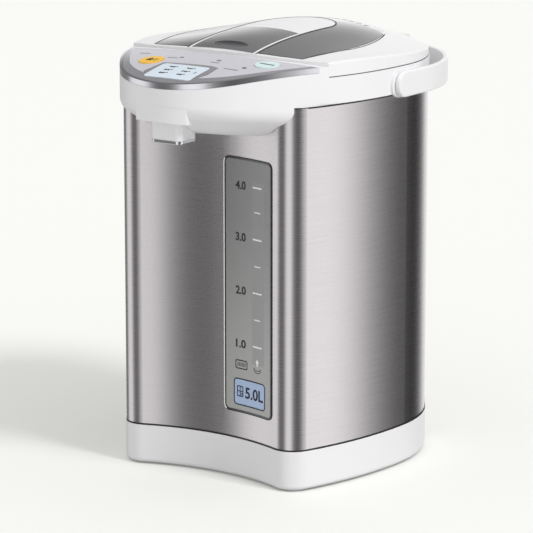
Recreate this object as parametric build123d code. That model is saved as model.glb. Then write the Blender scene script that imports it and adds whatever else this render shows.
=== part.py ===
from build123d import *
from math import asin, atan2, cos, degrees, hypot, pi, radians, sin, sqrt
import os

# Electric thermo pot. Millimetres, +Z up, the beak and spout face -Y.
# Sizes are laid out about the vessel axis, and the finished pieces are then
# moved so that the origin lies under the middle of the whole pot.

# ---- body plan -------------------------------------------------------------
rear_radius = 107.5          # round back of the casing
side_radius = 299.3          # slightly bowed flanks
side_start_angle = 0.0       # degrees ahead of square where the flank begins
corner_radius = 17.8         # front corner pillars
hollow_radius = 176.5        # hollow curve of the front face
front_depth = 107.7          # vessel axis to the middle of the front face
base_proud = 0.4             # base stands out from the steel
steel_thickness = 0.6

# ---- head plan -------------------------------------------------------------
head_proud = 0.8             # collar stands out from the steel
flank_angle = 7.0            # degrees on the flank arc where the beak leaves
tip_radius = 72.0            # round front of the beak
beak_reach = 182.1           # vessel axis to the tip of the beak
head_wall = 3.0
head_split_reach = 84.0      # vessel axis to the joint between beak and collar

# ---- heights ---------------------------------------------------------------
foot_height = 4.0
base_bottom = 1.5
base_top = 32.6
casing_height = 269.6        # from the base to the collar
shadow_gap = 0.6             # open line between steel and collar
collar_height = 20.6         # from its lower edge to the lid seam
seam_gap = 0.3
fit_gap = 0.3                # between pieces that lie side by side
seat_gap = 0.2               # between a piece and what carries it

# ---- base ------------------------------------------------------------------
base_wall = 2.5
base_edge_radius = 3.5
lip_thickness = 1.8
lip_height = 6.0
lip_gap = 0.2
plate_thickness = 2.5
foot_radius = 9.0
foot_edge_radius = 0.8
foot_places = [(74, -96), (-74, -96), (62, 60), (-62, 60)]
screw_radius = 1.5
screw_head_radius = 3.0
screw_head_height = 1.6
screw_length = 12.0
running_gap = 0.05
boss_radius = 5.0
boss_height = 14.0
rear_boss_angle = 28.0
air_slot_count = 5
air_slot_pitch = 9.0
air_slot_width = 3.0
air_slot_front = 34.0
air_slot_length = 28.0
air_slot_corner = 1.4

# ---- beak underside --------------------------------------------------------
belly_depth = 25.4           # below the collar, where it meets the casing
belly_back_reach = 115.0
belly_rise = 0.114           # rise for each millimetre towards the tip
belly_turn_height = 15.1     # the turn beneath is a bevel with both its edges rounded
belly_turn_depth = 25.9
belly_upper_radius = 13.0
belly_lower_radius = 40.0
chin_half_width = 23.5
chin_drop = 10.2             # below the collar
chin_nose = 5.0
chin_slant = 1.5
chin_back_reach = 160.0
chin_inset = 0.2

# ---- panel -----------------------------------------------------------------
panel_peak_rise = 12.55      # above the lid seam
panel_peak_reach = 84.6
panel_radius_y = 376.0
panel_radius_x = 1060.0
panel_thickness = 2.5
shelf_thickness = 2.0
panel_back_reach = 103.6
panel_back_radius = 700.0
trim_width = 2.2
trim_height = 4.0
panel_gap = 0.2
band_shift = 12.0            # the plate is the head plan moved back by this
plate_inset = 0.5
display_width = 43.2
display_length = 29.0
display_reach = 157.6
display_corner = 3.0
display_proud = 0.4
display_thickness = 2.2
module_width = 46.0
module_length = 29.0
board_drop = 7.8             # below the lid seam
board_thickness = 1.6
board_width = 104.0
board_length = 50.0
board_reach = 138.0
board_posts = [(46, -119), (-46, -119), (34, -159), (-34, -159)]
board_post_radius = 3.2
board_screw_length = 7.0
board_gap = 1.0
switch_half_width = 3.0
lock_place = (-39.0, -137.0)
dispense_place = (54.5, -116.0)
key_radius = 9.7
key_gap = 0.3
key_proud = 0.6
key_height = 6.0
key_travel = 0.8
stem_radius = 2.4
switch_height = 2.4
lamp_places = [(-19.8, -123.7), (14.2, -122.3), (44.3, -131.5)]
lamp_radius = 1.9
lamp_proud = 0.1
lamp_depth = 3.3

# ---- spout -----------------------------------------------------------------
nozzle_width = 28.0
nozzle_length = 23.0
nozzle_reach = 162.0
nozzle_corner = 4.5
nozzle_drop = 27.2           # below the collar
rim_height = 2.6
rim_proud = 0.2
rim_edge_radius = 0.8
nozzle_shoulder = 3.0
nozzle_height = 23.0
spout_bore_radius = 5.5
spout_bore_length = 12.4
spout_mouth_radius = 6.5
spigot_radius = 3.4

# ---- level window ----------------------------------------------------------
window_left = 8.5
window_right = 60.2
window_rise = 21.9           # above the base
window_height = 202.9
window_corner = 5.0
frame_width = 1.5
frame_proud = 0.5
frame_depth = 2.4
lens_depth = 1.6
lens_proud = 0.2
scale_gap = 0.4
scale_thickness = 0.8
gauge_centre = 44.3
gauge_width = 13.8
gauge_rise = 40.8            # above the foot of the window
gauge_height = 144.7
gauge_corner = 2.0
tube_radius = 5.0
tube_bore = 4.0
tube_reach = 102.0
tube_rise = 23.5             # above the foot of the window
tube_height = 184.0

# ---- vessel ----------------------------------------------------------------
vessel_radius = 86.7
vessel_wall = 0.8
vessel_rise = 27.4           # above the base
vessel_corner = 10.0
vessel_flange_radius = 95.0
vessel_hole_radius = 90.5
floor_thickness = 3.0
mouth_radius = 89.8
mouth_top_radius = 96.0
mouth_deck_drop = 5.6        # below the lid seam
mouth_thickness = 2.5
heater_thickness = 2.5
heater_rise = 10.0           # above the bottom of the vessel
heater_height = 30.0
heater_opening = 3.0
thermostat_place = (-12.0, 14.0)
thermostat_radius = 10.0
thermostat_neck_radius = 7.0
thermostat_cup_height = 6.0
thermostat_height = 11.0
thermostat_tab_length = 12.0
thermostat_tab_width = 4.0
thermostat_tab_height = 2.0
sensor_place = (-38.0, -26.0)
sensor_radius = 5.0
sensor_height = 8.0
sensor_flange_radius = 8.0
sensor_flange_height = 2.0
post_radius = 5.0
post_foot_radius = 8.0
post_foot_height = 3.0
post_reach = 70.0
post_angles = [80, 205, 325]

# ---- pump ------------------------------------------------------------------
pump_x = 22.0
pump_y = -48.0
pump_radius = 20.0
pump_rise = 31.5             # above the bottom plate
pump_height = 15.0
chamber_radius = 16.5
chamber_floor = 3.0
chamber_height = 8.0
impeller_radius = 15.6
impeller_height = 5.0
blade_count = 6
blade_thickness = 1.6
hub_radius = 4.0
blade_start = 3.0
blade_tip_gap = 0.4
web_thickness = 1.4
shaft_radius = 1.5
shaft_depth = 8.0
motor_radius = 15.0
motor_edge_radius = 2.0
mount_height = 5.0
mount_radius = 18.0
mount_hole_radius = 11.0
hose_radius = 4.6
hose_bore = 3.0
inlet_radius = 5.0
inlet_bore = 3.5
drain_radius = 4.0
port_length = 6.2

# ---- valve -----------------------------------------------------------------
valve_radius = 8.0
valve_height = 22.0
valve_bore = 4.2
valve_seat_radius = 2.8
valve_wall = 4.0
ball_radius = 3.6
ball_travel = 5.0

# ---- power inlet -----------------------------------------------------------
socket_angle = 55.0
socket_width = 34.0
socket_height = 26.0
socket_depth = 18.0
socket_reach = 110.7
socket_bottom = 5.0
socket_corner = 1.5
recess_width = 24.0
recess_height = 14.0
recess_depth = 9.0
pin_radius = 1.6
pin_length = 6.0
pin_spacing = 7.0

# ---- lid -------------------------------------------------------------------
lid_inset = 0.8
lid_front_reach = 102.4
lid_front_radius = 330.0
lid_crown_rise = 25.3        # top of the lid over the vessel axis, above the lid seam
lid_span = 100.0             # the curve values below are heights at this distance from the axis
lid_curve_along = [0.9, -8.7, -4.6, -5.1]      # with y, y2, y3, y4
lid_curve_across = [-23.6, -7.0, 5.0]          # with x2, x2 y, x2 y2
lid_curve_corner = [8.4, 1.4]                  # with x4, x4 y
lid_surface_half = 125.0
lid_surface_reach = 130.0
lid_surface_rows = 15
lid_surface_miss = 0.02
lid_edge_radius = 1.5
lid_wall = 2.5
inlay_depth = 1.2
inlay_gap = 0.4
inlay_front_reach = 91.0      # at its outer front corners
inlay_front_bow = 7.0
inlay_outer_front = 70.0
inlay_outer_reach = 33.0
inlay_outer_middle = 77.5
inlay_outer_back = 61.5
inlay_back_corner = 36.0
inlay_back = 46.0
inlay_corner = 9.0
vent_gap = 1.0
vent_width = 9.0
vent_half_span = 57.0
vent_slot_count = 11
vent_slot_width = 2.4
vent_slot_length = 6.0
vent_slot_pitch = 7.6
lever_half_width = 32.0
lever_front_reach = 99.4
lever_back = 3.0
lever_thickness = 2.8
lever_gap = 0.5
insert_half_width = 29.0
insert_front_reach = 98.4
insert_back_reach = 33.0
insert_thickness = 2.0
insert_back_bow = 3.0
dish_reach = 86.0
dish_half_length = 6.0
dish_half_width = 15.5
dish_depth = 1.4
lever_axis_reach = -18.0
lever_axis_rise = 15.7       # above the lid seam
lever_pin_radius = 1.5
lug_inner = 19.0
lug_width = 4.0
lug_radius = 3.2
ear_gap = 0.4
ear_width = 3.0
ear_half_length = 5.0
ear_radius = 3.6
bolt_width = 20.0
bolt_length = 20.0
bolt_height = 4.0
bolt_rise = 4.6              # above the lid seam
bolt_stow = 5.0
bolt_chamfer = 2.0
bolt_travel = 4.0
bolt_guide_wall = 2.0
bolt_guide_length = 14.0
stop_half_width = 5.0
spring_radius = 2.4
spring_wire = 0.5
spring_turns = 6
spring_length = 14.0
lid_plate_rise = 0.6         # above the lid seam
lid_plate_thickness = 2.4
plug_radius = 80.0
plug_wall = 2.5
plug_depth = 13.8            # below the lid seam
liner_thickness = 2.0
liner_inset = 0.4
liner_edge_radius = 1.2
gasket_radius = 89.0
gasket_height = 2.6
gasket_edge_radius = 0.9
steam_cap_radius = 14.0
steam_cap_height = 6.0
steam_cap_edge_radius = 2.0
steam_cap_floor = 1.6
steam_duct_radius = 6.0
steam_duct_bore = 4.5
steam_port_count = 4
steam_port_width = 3.0
steam_port_height = 2.2
steam_port_inset = 2.0

# ---- hinge -----------------------------------------------------------------
knuckle_radius = 4.5
knuckle_gap = 0.3
hinge_pin_radius = 1.5
centre_knuckle = 13.0
lid_knuckle = 27.0
outer_knuckle = 36.0
web_height = 6.4
lid_web_height = 2.4
web_reach = 24.0

# ---- handle ----------------------------------------------------------------
pad_face = 109.2
pad_reach = 14.4
pad_half_height = 10.2
pad_back = 14.0
pivot_reach = 11.5
pivot_drop = 13.5            # below the lid seam
bail_gap = 0.3
bail_thickness = 4.2
bail_half_height = 10.0
bail_centre = 18.0
bail_edge_radius = 1.2
pivot_radius = 4.0
pivot_depth = 2.6
pivot_root = 99.0
pivot_boss_radius = 7.0

# ---- worked-out places -----------------------------------------------------
tall = 400.0
spare = 20.0                 # cutting shapes reach past what they cut
side_turn = radians(side_start_angle)
side_centre = ((rear_radius - side_radius) * cos(side_turn), -(rear_radius - side_radius) * sin(side_turn))
hollow_centre = (0.0, -front_depth - hollow_radius)


def corner_centre():
    """Centre of the right front pillar: it touches the hollow front and the flank."""
    reach_hollow = hollow_radius + corner_radius
    reach_side = side_radius - corner_radius
    dx = side_centre[0] - hollow_centre[0]
    dy = side_centre[1] - hollow_centre[1]
    span = hypot(dx, dy)
    along = (reach_hollow ** 2 - reach_side ** 2 + span ** 2) / (2 * span)
    across = sqrt(reach_hollow ** 2 - along ** 2)
    ux, uy = dx / span, dy / span
    return (hollow_centre[0] + ux * along + uy * across, hollow_centre[1] + uy * along - ux * across)


corner = corner_centre()
corner_start = degrees(atan2(hollow_centre[1] - corner[1], hollow_centre[0] - corner[0]))
corner_end = degrees(atan2(corner[1] - side_centre[1], corner[0] - side_centre[0]))
hollow_end = degrees(atan2(corner[1] - hollow_centre[1], corner[0] - hollow_centre[0]))

flank_normal = (cos(radians(flank_angle)), -sin(radians(flank_angle)))
flank_start = (side_centre[0] + (side_radius + head_proud) * flank_normal[0],
               side_centre[1] + (side_radius + head_proud) * flank_normal[1])
tip_centre = (0.0, tip_radius - beak_reach)
to_tip = (flank_start[0] - tip_centre[0], flank_start[1] - tip_centre[1])
flank_radius = (to_tip[0] ** 2 + to_tip[1] ** 2 - tip_radius ** 2) / (
    2 * (to_tip[0] * flank_normal[0] + to_tip[1] * flank_normal[1] - tip_radius))
flank_centre = (flank_start[0] - flank_radius * flank_normal[0],
                flank_start[1] - flank_radius * flank_normal[1])
tip_end = degrees(atan2(tip_centre[1] - flank_centre[1], tip_centre[0] - flank_centre[0]))

collar_bottom = base_top + casing_height
lid_seam = collar_bottom + collar_height
belly_back_height = collar_bottom - belly_depth
chin_height = collar_bottom - chin_drop
panel_peak_height = lid_seam + panel_peak_rise
board_height = lid_seam - board_drop
nozzle_bottom = collar_bottom - nozzle_drop
nozzle_top = nozzle_bottom + nozzle_height
window_bottom = base_top + window_rise
window_top = window_bottom + window_height
gauge_bottom = window_bottom + gauge_rise
gauge_top = gauge_bottom + gauge_height
tube_bottom = window_bottom + tube_rise
tube_top = tube_bottom + tube_height
vessel_bottom = base_top + vessel_rise
heater_bottom = vessel_bottom + heater_rise
mouth_deck_height = lid_seam - mouth_deck_drop
head_low = lid_seam - spare  # pieces of the head are cut from prisms that start here
lever_axis_height = lid_seam + lever_axis_rise
bolt_bottom = lid_seam + bolt_rise
lid_plate_bottom = lid_seam + lid_plate_rise
plug_bottom = lid_seam - plug_depth
pivot_height = lid_seam - pivot_drop
head_radius = rear_radius + head_proud
bail_inner = pad_face + bail_gap
bail_outer = bail_inner + bail_thickness
handle_reach = bail_centre + bail_outer
axis_y = (beak_reach - handle_reach) / 2
hinge_y = head_radius + knuckle_gap + knuckle_radius
hinge_z = lid_seam + seam_gap / 2
steel_top = collar_bottom - shadow_gap
vent_drop = inlay_back - inlay_back_corner
vent_radius = (inlay_outer_back ** 2 + vent_drop ** 2) / (2 * vent_drop)
vent_centre = inlay_back - vent_radius
plate_bottom = foot_height
plate_top = plate_bottom + plate_thickness
pump_bottom = plate_top + pump_rise
chamber_bottom = pump_bottom + chamber_floor
floor_top = collar_bottom + floor_thickness
panel_floor = panel_thickness + seat_gap
shelf_bottom = panel_floor + shelf_thickness


# ---- drawing helpers -------------------------------------------------------
def arc(centre, radius, start, end):
    return CenterArc(centre, radius, start, end - start)


def ring_face(edges):
    return Face(Wire(edges))


def body_plan(grow=0.0):
    """Outline of the casing, grown outwards by grow."""
    left = (-corner[0], corner[1])
    left_side = (-side_centre[0], side_centre[1])
    edges = [
        arc(hollow_centre, hollow_radius - grow, 180 - hollow_end, hollow_end),
        arc(corner, corner_radius + grow, corner_start, corner_end),
        arc(side_centre, side_radius + grow, corner_end, -side_start_angle),
        arc((0, 0), rear_radius + grow, -side_start_angle, 180 + side_start_angle),
        arc(left_side, side_radius + grow, 180 + side_start_angle, 180 - corner_end),
        arc(left, corner_radius + grow, 180 - corner_end, 180 - corner_start),
    ]
    return ring_face(edges)


def head_plan(grow=0.0):
    """Outline of the head: collar at the back, beak at the front."""
    left_side = (-side_centre[0], side_centre[1])
    left_flank = (-flank_centre[0], flank_centre[1])
    side_reach = side_radius + head_proud + grow
    edges = [
        arc(tip_centre, tip_radius + grow, -180 - tip_end, tip_end),
        arc(flank_centre, flank_radius + grow, tip_end, -flank_angle),
        arc(side_centre, side_reach, -flank_angle, -side_start_angle),
        arc((0, 0), head_radius + grow, -side_start_angle, 180 + side_start_angle),
        arc(left_side, side_reach, 180 + side_start_angle, 180 + flank_angle),
        arc(left_flank, flank_radius + grow, 180 + flank_angle, 180 - tip_end),
    ]
    return ring_face(edges)


def prism(face, low, high):
    return extrude(Pos(0, 0, low) * face, high - low, dir=(0, 0, 1))


def disc(x, y, radius, low, high):
    return Pos(x, y, (low + high) / 2) * Cylinder(radius, high - low)


def block(x0, x1, y0, y1, z0, z1):
    return Pos((x0 + x1) / 2, (y0 + y1) / 2, (z0 + z1) / 2) * Box(x1 - x0, y1 - y0, z1 - z0)


def rounded_block(x0, x1, y0, y1, z0, z1, corner_size):
    plan = Pos((x0 + x1) / 2, (y0 + y1) / 2) * RectangleRounded(x1 - x0, y1 - y0, corner_size)
    return prism(plan, z0, z1)


def cross_rod(y, z, radius, x0, x1):
    return Pos((x0 + x1) / 2, y, z) * Rot(0, 90, 0) * Cylinder(radius, x1 - x0)


def domed(peak_y, peak_z, radius_y, radius_x, drop=0.0):
    """Solid under a gently domed surface, lowered square to itself by drop."""
    ry = radius_y - drop
    rx = radius_x - drop
    top = peak_z - drop
    half = degrees(asin(230.0 / radius_y))
    crown = CenterArc((peak_y, top - ry), ry, 90 - half, 2 * half)
    low = top - 80.0
    ends = [crown @ 0, crown @ 1]
    sides = Polyline(ends[1], (ends[1].X, low), (ends[0].X, low), ends[0])
    face = Plane.YZ * Face(Wire(crown.edges() + sides.edges()))
    swing = degrees(asin(125.0 / rx))
    hub = Axis((0, 0, top - rx), (0, 1, 0))
    return revolve(face.rotate(hub, -swing), hub, 2 * swing)


def panel_dome(drop=0.0):
    return domed(-panel_peak_reach, panel_peak_height, panel_radius_y, panel_radius_x, drop)


def lid_height(x, y):
    """Height of the lid top: a crown that falls faster towards its rim."""
    v = y / lid_span
    q = (x / lid_span) ** 2
    height = lid_seam + lid_crown_rise
    for power, value in enumerate(lid_curve_along):
        height += value * v ** (power + 1)
    for power, value in enumerate(lid_curve_across):
        height += value * q * v ** power
    for power, value in enumerate(lid_curve_corner):
        height += value * q ** 2 * v ** power
    return height


def lid_dome(drop=0.0):
    """Solid under the lid top, lowered by drop."""
    rows = range(lid_surface_rows)
    xs = [lid_surface_half * (2 * row / (lid_surface_rows - 1) - 1) for row in rows]
    ys = [lid_surface_reach * (2 * row / (lid_surface_rows - 1) - 1) for row in rows]
    points = [[Vector(x, y, lid_height(x, y) - drop) for y in ys] for x in xs]
    surface = Face.make_surface_from_array_of_points(points, tol=lid_surface_miss, min_deg=3, max_deg=5)
    return Solid.extrude(surface, Vector(0, 0, -4 * spare))


def panel_height(x, y, drop=0.0):
    fall_y = (y + panel_peak_reach) ** 2 / (2 * panel_radius_y)
    return panel_peak_height - drop - x ** 2 / (2 * panel_radius_x) - fall_y


def lid_disc(grow=0.0):
    return Pos(0, lid_front_radius - lid_front_reach) * Circle(lid_front_radius + grow)


def panel_disc(grow=0.0):
    return Pos(0, panel_back_radius - panel_back_reach) * Circle(panel_back_radius + grow)


def lid_plan(grow=0.0):
    return head_plan(grow - lid_inset) & lid_disc(grow)


def panel_plan(grow=0.0):
    return head_plan(grow - trim_width - panel_gap) - panel_disc(-grow)


def front_prism(x0, x1, z0, z1, corner_size):
    """Rounded block through the front face, for the level window."""
    plan = Plane.XZ * Pos((x0 + x1) / 2, (z0 + z1) / 2) * RectangleRounded(x1 - x0, z1 - z0, corner_size)
    return extrude(Pos(0, -front_depth + spare, 0) * plan, 3 * spare, dir=(0, -1, 0))


def skin(outer, inner, low, high):
    """Casing-shaped shell between two growths of the body plan."""
    return prism(body_plan(outer), low, high) - prism(body_plan(inner), low, high)


def tube_along(points, radii, radius):
    path = FilletPolyline(*points, radius=radii)
    start = Plane(origin=path @ 0, z_dir=path % 0)
    return sweep(start * Circle(radius), path=path)


# ---- base ------------------------------------------------------------------
def boss_places():
    room = base_wall + screw_head_radius + fit_gap - base_proud
    ahead = corner_radius - room
    front = (corner[0] + ahead * cos(pi / 4), corner[1] - ahead * sin(pi / 4))
    reach = rear_radius - room
    back = (reach * cos(radians(rear_boss_angle)), reach * sin(radians(rear_boss_angle)))
    return [front, (-front[0], front[1]), back, (-back[0], back[1])]


def socket_frame(grow=0.0):
    """Block that the power inlet fills, turned to face out of the casing."""
    middle = socket_reach - socket_depth / 2
    height = socket_bottom + socket_height / 2
    cube = Box(socket_depth + 2 * grow, socket_width + 2 * grow, socket_height + 2 * grow)
    return Rot(0, 0, socket_angle) * Pos(middle, 0, height) * cube


def make_base_ring():
    outer = prism(body_plan(base_proud), base_bottom, base_top)
    outer = fillet(outer.faces().sort_by(Axis.Z)[0].edges(), base_edge_radius)
    inner = prism(body_plan(base_proud - base_wall), base_bottom, base_top)
    lip_face = -steel_thickness - lip_gap
    lip = skin(lip_face, lip_face - lip_thickness, base_top - lip_height, base_top + lip_height)
    ring = outer - inner + lip
    for x, y in boss_places():
        ring += disc(x, y, boss_radius, plate_top + seat_gap, plate_top + boss_height) & prism(
            body_plan(0), base_bottom, base_top)
    for x, y in boss_places():
        ring -= disc(x, y, screw_radius + running_gap, base_bottom, plate_top + boss_height - base_wall)
    return ring - socket_frame(fit_gap)


def make_bottom_plate():
    plate = prism(body_plan(base_proud - base_wall - fit_gap), plate_bottom, plate_top)
    for x, y in boss_places():
        plate -= disc(x, y, screw_radius + running_gap, plate_bottom, plate_top)
    plate -= socket_frame(fit_gap)
    for step in range(air_slot_count):
        across = (step - (air_slot_count - 1) / 2) * air_slot_pitch
        plate -= rounded_block(across - air_slot_width / 2, across + air_slot_width / 2, -air_slot_front,
                               air_slot_length - air_slot_front, plate_bottom, plate_top, air_slot_corner)
    for x, y in board_standoffs:
        plate += disc(x, y, standoff_radius, plate_top, power_board_height)
    return plate


standoff_radius = 3.0
power_board_height = plate_top + 7.5
power_board_x = -38.0
power_board_y = 38.0
power_board_width = 78.0
power_board_length = 52.0
standoff_inset = 5.0
board_blocks = [(-30.0, -18.0, 24.0, 24.0, 20.0), (2.0, -16.0, 16.0, 20.0, 15.0), (-28.0, 12.0, 54.0, 8.0, 8.0)]
board_capacitor = (27.0, -10.0, 5.0, 18.0)
board_standoffs = [
    (power_board_x + side * (power_board_width / 2 - standoff_inset),
     power_board_y + end * (power_board_length / 2 - standoff_inset))
    for side in (-1, 1) for end in (-1, 1)]


def make_rubber_feet():
    feet = []
    for x, y in foot_places:
        foot = disc(x, y, foot_radius, 0, foot_height)
        feet.append(fillet(foot.faces().sort_by(Axis.Z)[0].edges(), foot_edge_radius))
    return feet


def make_bottom_screws():
    screws = []
    for x, y in boss_places():
        shank = disc(x, y, screw_radius, plate_bottom, plate_bottom + screw_length)
        head = disc(x, y, screw_head_radius, plate_bottom - screw_head_height, plate_bottom)
        screws.append(shank + head)
    return screws


def make_steel_shell():
    shell = skin(0, -steel_thickness, base_top, steel_top)
    gap = running_gap * 3
    window = front_prism(window_left - gap, window_right + gap, window_bottom - gap, window_top + gap,
                         window_corner + gap)
    return shell - window


# ---- level window ----------------------------------------------------------
def window_block(inset, corner_size):
    return front_prism(window_left + inset, window_right - inset, window_bottom + inset, window_top - inset,
                       corner_size)


def make_window_frame():
    band = skin(frame_proud, -frame_depth, window_bottom - spare, window_top + spare)
    opening = window_block(frame_width, window_corner - frame_width)
    return band & (window_block(0, window_corner) - opening)


def make_window_lens():
    inset = frame_width + running_gap
    return skin(lens_proud, -lens_depth, window_bottom - spare, window_top + spare) & window_block(inset, window_corner - inset)


def make_scale_plate():
    near = -lens_depth - scale_gap
    inset = frame_width + fit_gap
    plate = skin(near, near - scale_thickness, window_bottom - spare, window_top + spare)
    plate = plate & window_block(inset, window_corner - inset)
    slot = front_prism(gauge_centre - gauge_width / 2, gauge_centre + gauge_width / 2, gauge_bottom, gauge_top,
                       gauge_corner)
    return plate - slot


def make_level_tube():
    wall = disc(gauge_centre, -tube_reach, tube_radius, tube_bottom, tube_top)
    return wall - disc(gauge_centre, -tube_reach, tube_bore, tube_bottom, tube_top)


# ---- head ------------------------------------------------------------------
def belly_height(y):
    return belly_back_height - belly_rise * (y + belly_back_reach)


def beak_solid(inset=0.0):
    """Head prism cut by the sloping underside, with a wide soft turn beneath."""
    shape = prism(head_plan(-inset), 0, tall)
    front, back = -beak_reach - spare, beak_reach
    side = Plane.YZ * Polyline((front, belly_height(front) + inset), (back, belly_height(back) + inset),
                               (back, -spare), (front, -spare), close=True)
    shape -= extrude(make_face(side), beak_reach, both=True)
    floor = shape.faces().sort_by(Axis.Z)[0]
    shape = chamfer(floor.edges(), belly_turn_depth, belly_turn_height, reference=floor)
    level = [face for face in shape.faces() if face.normal_at(face.center()).Z < -0.98]
    shape = fillet(level[0].edges(), belly_lower_radius - inset)
    walls = [face for face in shape.faces() if abs(face.normal_at(face.center()).Z) < 0.01]
    return fillet([wall.edges().sort_by(Axis.Z)[0] for wall in walls], belly_upper_radius - inset)


def outlet_points():
    start = (gauge_centre, -tube_reach, tube_top + valve_height)
    turn_height = (floor_top + board_height) / 2
    high = (gauge_centre, -tube_reach, turn_height)
    over = (0, -nozzle_reach, turn_height)
    return [start, high, over, (0, -nozzle_reach, nozzle_top)]


outlet_bends = [9.0, 7.5]


def nozzle_block(grow, low, high):
    return rounded_block(-nozzle_width / 2 - grow, nozzle_width / 2 + grow,
                         -nozzle_reach - nozzle_length / 2 - grow, -nozzle_reach + nozzle_length / 2 + grow,
                         low, high, nozzle_corner + grow)


def keeper_slot(grow):
    half = bolt_width / 2 + grow
    return block(-half, half, -lid_front_reach - 2 * head_wall, -lid_front_reach + 2 * lid_wall,
                 bolt_bottom - grow, bolt_bottom + bolt_height + grow)


def pad_shape(side):
    near, far = sorted((side * pivot_root, side * pad_face))
    pad = block(near, far, -pad_reach, pad_back, pivot_height - pad_half_height, pivot_height + pad_half_height)
    for end in (-pad_reach, pad_back):
        pad += cross_rod(end, pivot_height, pad_half_height, near, far)
    return pad


def hinge_knuckle(x0, x1, low, high, plan):
    """Knuckle on the hinge line with its web, flush with the wall that carries it."""
    web = block(x0, x1, hinge_y - web_reach, hinge_y, low, high) - prism(plan, 0, tall)
    knuckle = web + cross_rod(hinge_y, hinge_z, knuckle_radius, x0, x1)
    return knuckle - cross_rod(hinge_y, hinge_z, hinge_pin_radius + running_gap, x0, x1)


def make_hinge_lugs():
    top = hinge_z - seam_gap
    spans = [(-centre_knuckle, centre_knuckle)]
    spans += [sorted((side * (lid_knuckle + fit_gap), side * outer_knuckle)) for side in (-1, 1)]
    return [hinge_knuckle(near, far, top - web_height, top, head_plan(0)) for near, far in spans]


def make_lid_lugs():
    low = hinge_z + seam_gap
    spans = [sorted((side * (centre_knuckle + fit_gap), side * lid_knuckle)) for side in (-1, 1)]
    return [hinge_knuckle(near, far, low, low + lid_web_height, lid_plan(0)) for near, far in spans]


def make_head_moulding():
    outer = beak_solid()
    chin_top = lid_seam - collar_height / 2
    chin_side = Plane.YZ * Polyline((-beak_reach - chin_nose, chin_top),
                                    (-beak_reach - chin_nose, chin_height + chin_slant),
                                    (-beak_reach + chin_nose, chin_height), (-nozzle_reach, chin_height),
                                    (-chin_back_reach, chin_top), close=True)
    outer += extrude(make_face(chin_side), chin_half_width, both=True) & prism(head_plan(-chin_inset), 0, tall)
    ahead = prism(head_plan(spare) - lid_disc(seam_gap), 0, tall) & panel_dome()
    behind = prism(head_plan(spare) & lid_disc(seam_gap), 0, lid_seam)
    outer = outer & (ahead + behind)
    outer -= prism(body_plan(fit_gap), 0, collar_bottom)
    outer -= block(-beak_reach, beak_reach, -front_depth, beak_reach, 0, collar_bottom)

    room = beak_solid(head_wall)
    room = room & panel_dome(shelf_bottom)
    room -= prism(lid_disc(seam_gap + head_wall), 0, tall)
    room -= prism(body_plan(fit_gap + head_wall), 0, floor_top)
    outer -= room
    outer -= prism(head_plan(-head_wall) & lid_disc(seam_gap), floor_top, tall)
    outer -= disc(0, 0, vessel_hole_radius, 0, tall)

    outer -= prism(panel_plan(panel_gap), board_height, tall) - panel_dome(panel_floor)
    trim_ring = head_plan(spare) - head_plan(-trim_width - running_gap) - panel_disc(-running_gap)
    outer -= prism(trim_ring, board_height, tall) - panel_dome(trim_height + seat_gap)

    lip_face = -steel_thickness - lip_gap
    outer += skin(lip_face, lip_face - lip_thickness, collar_bottom - lip_height, collar_bottom)
    for x, y in board_posts:
        under_shelf = prism(Pos(x, y) * Circle(board_post_radius), board_height + board_thickness, tall)
        outer += under_shelf & panel_dome(shelf_bottom - shelf_thickness / 4)
        outer -= disc(x, y, screw_radius + running_gap, board_height, board_height + board_screw_length + 1)
    for side in (-1, 1):
        pad = pad_shape(side) - prism(head_plan(-head_wall / 2), 0, tall)
        outer += pad - prism(body_plan(fit_gap), 0, collar_bottom)
        near, far = sorted((side * pivot_root, side * (head_radius - head_wall / 2)))
        outer += cross_rod(-pivot_reach, pivot_height, pivot_boss_radius, near, far)
        near, far = sorted((side * (pivot_root - head_wall), side * bail_outer))
        outer -= cross_rod(-pivot_reach, pivot_height, pivot_radius + running_gap, near, far)

    outer -= nozzle_block(fit_gap, nozzle_bottom, nozzle_top - nozzle_shoulder + fit_gap * 3)
    outer -= tube_along(outlet_points(), outlet_bends, hose_radius + fit_gap)
    outer -= keeper_slot(lever_gap)
    outer -= display_block(fit_gap, 0) & panel_dome(0)
    for x, y in (lock_place, dispense_place):
        outer -= disc(x, y, key_radius + key_gap + fit_gap, board_height, tall)
    for x, y in lamp_places:
        outer -= disc(x, y, lamp_radius + fit_gap, (board_height + lid_seam) / 2, tall)
    return outer


def make_upper_housing():
    """Front half of the head: beak, belly, chin and panel shelf."""
    return make_head_moulding() & block(-beak_reach, beak_reach, -beak_reach, -head_split_reach, 0, tall)


def make_collar_ring():
    """Rear half of the head round the filling opening, flush with the front."""
    return make_head_moulding() & block(-beak_reach, beak_reach, -head_split_reach, beak_reach, 0, tall)


def display_block(grow, lift):
    half_x = display_width / 2 + grow
    half_y = display_length / 2 + grow
    return rounded_block(-half_x, half_x, -display_reach - half_y, -display_reach + half_y,
                         board_height + board_thickness + lift, tall, display_corner)


def panel_holes():
    holes = display_block(running_gap, 0)
    for x, y in (lock_place, dispense_place):
        holes += disc(x, y, key_radius + key_gap, head_low, tall)
    for x, y in lamp_places:
        holes += disc(x, y, lamp_radius + running_gap, head_low, tall)
    return holes


def plate_plan(grow=0.0):
    return (Pos(0, band_shift) * head_plan(grow - plate_inset)) & panel_plan(grow)


def make_panel_plate():
    slab = panel_dome() - panel_dome(panel_thickness)
    return (prism(plate_plan(0), head_low, tall) & slab) - panel_holes()


def make_panel_band():
    slab = panel_dome() - panel_dome(panel_thickness)
    band = prism(panel_plan(0), head_low, tall) - prism(plate_plan(running_gap), head_low, tall)
    return (band & slab) - panel_holes()


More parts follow.
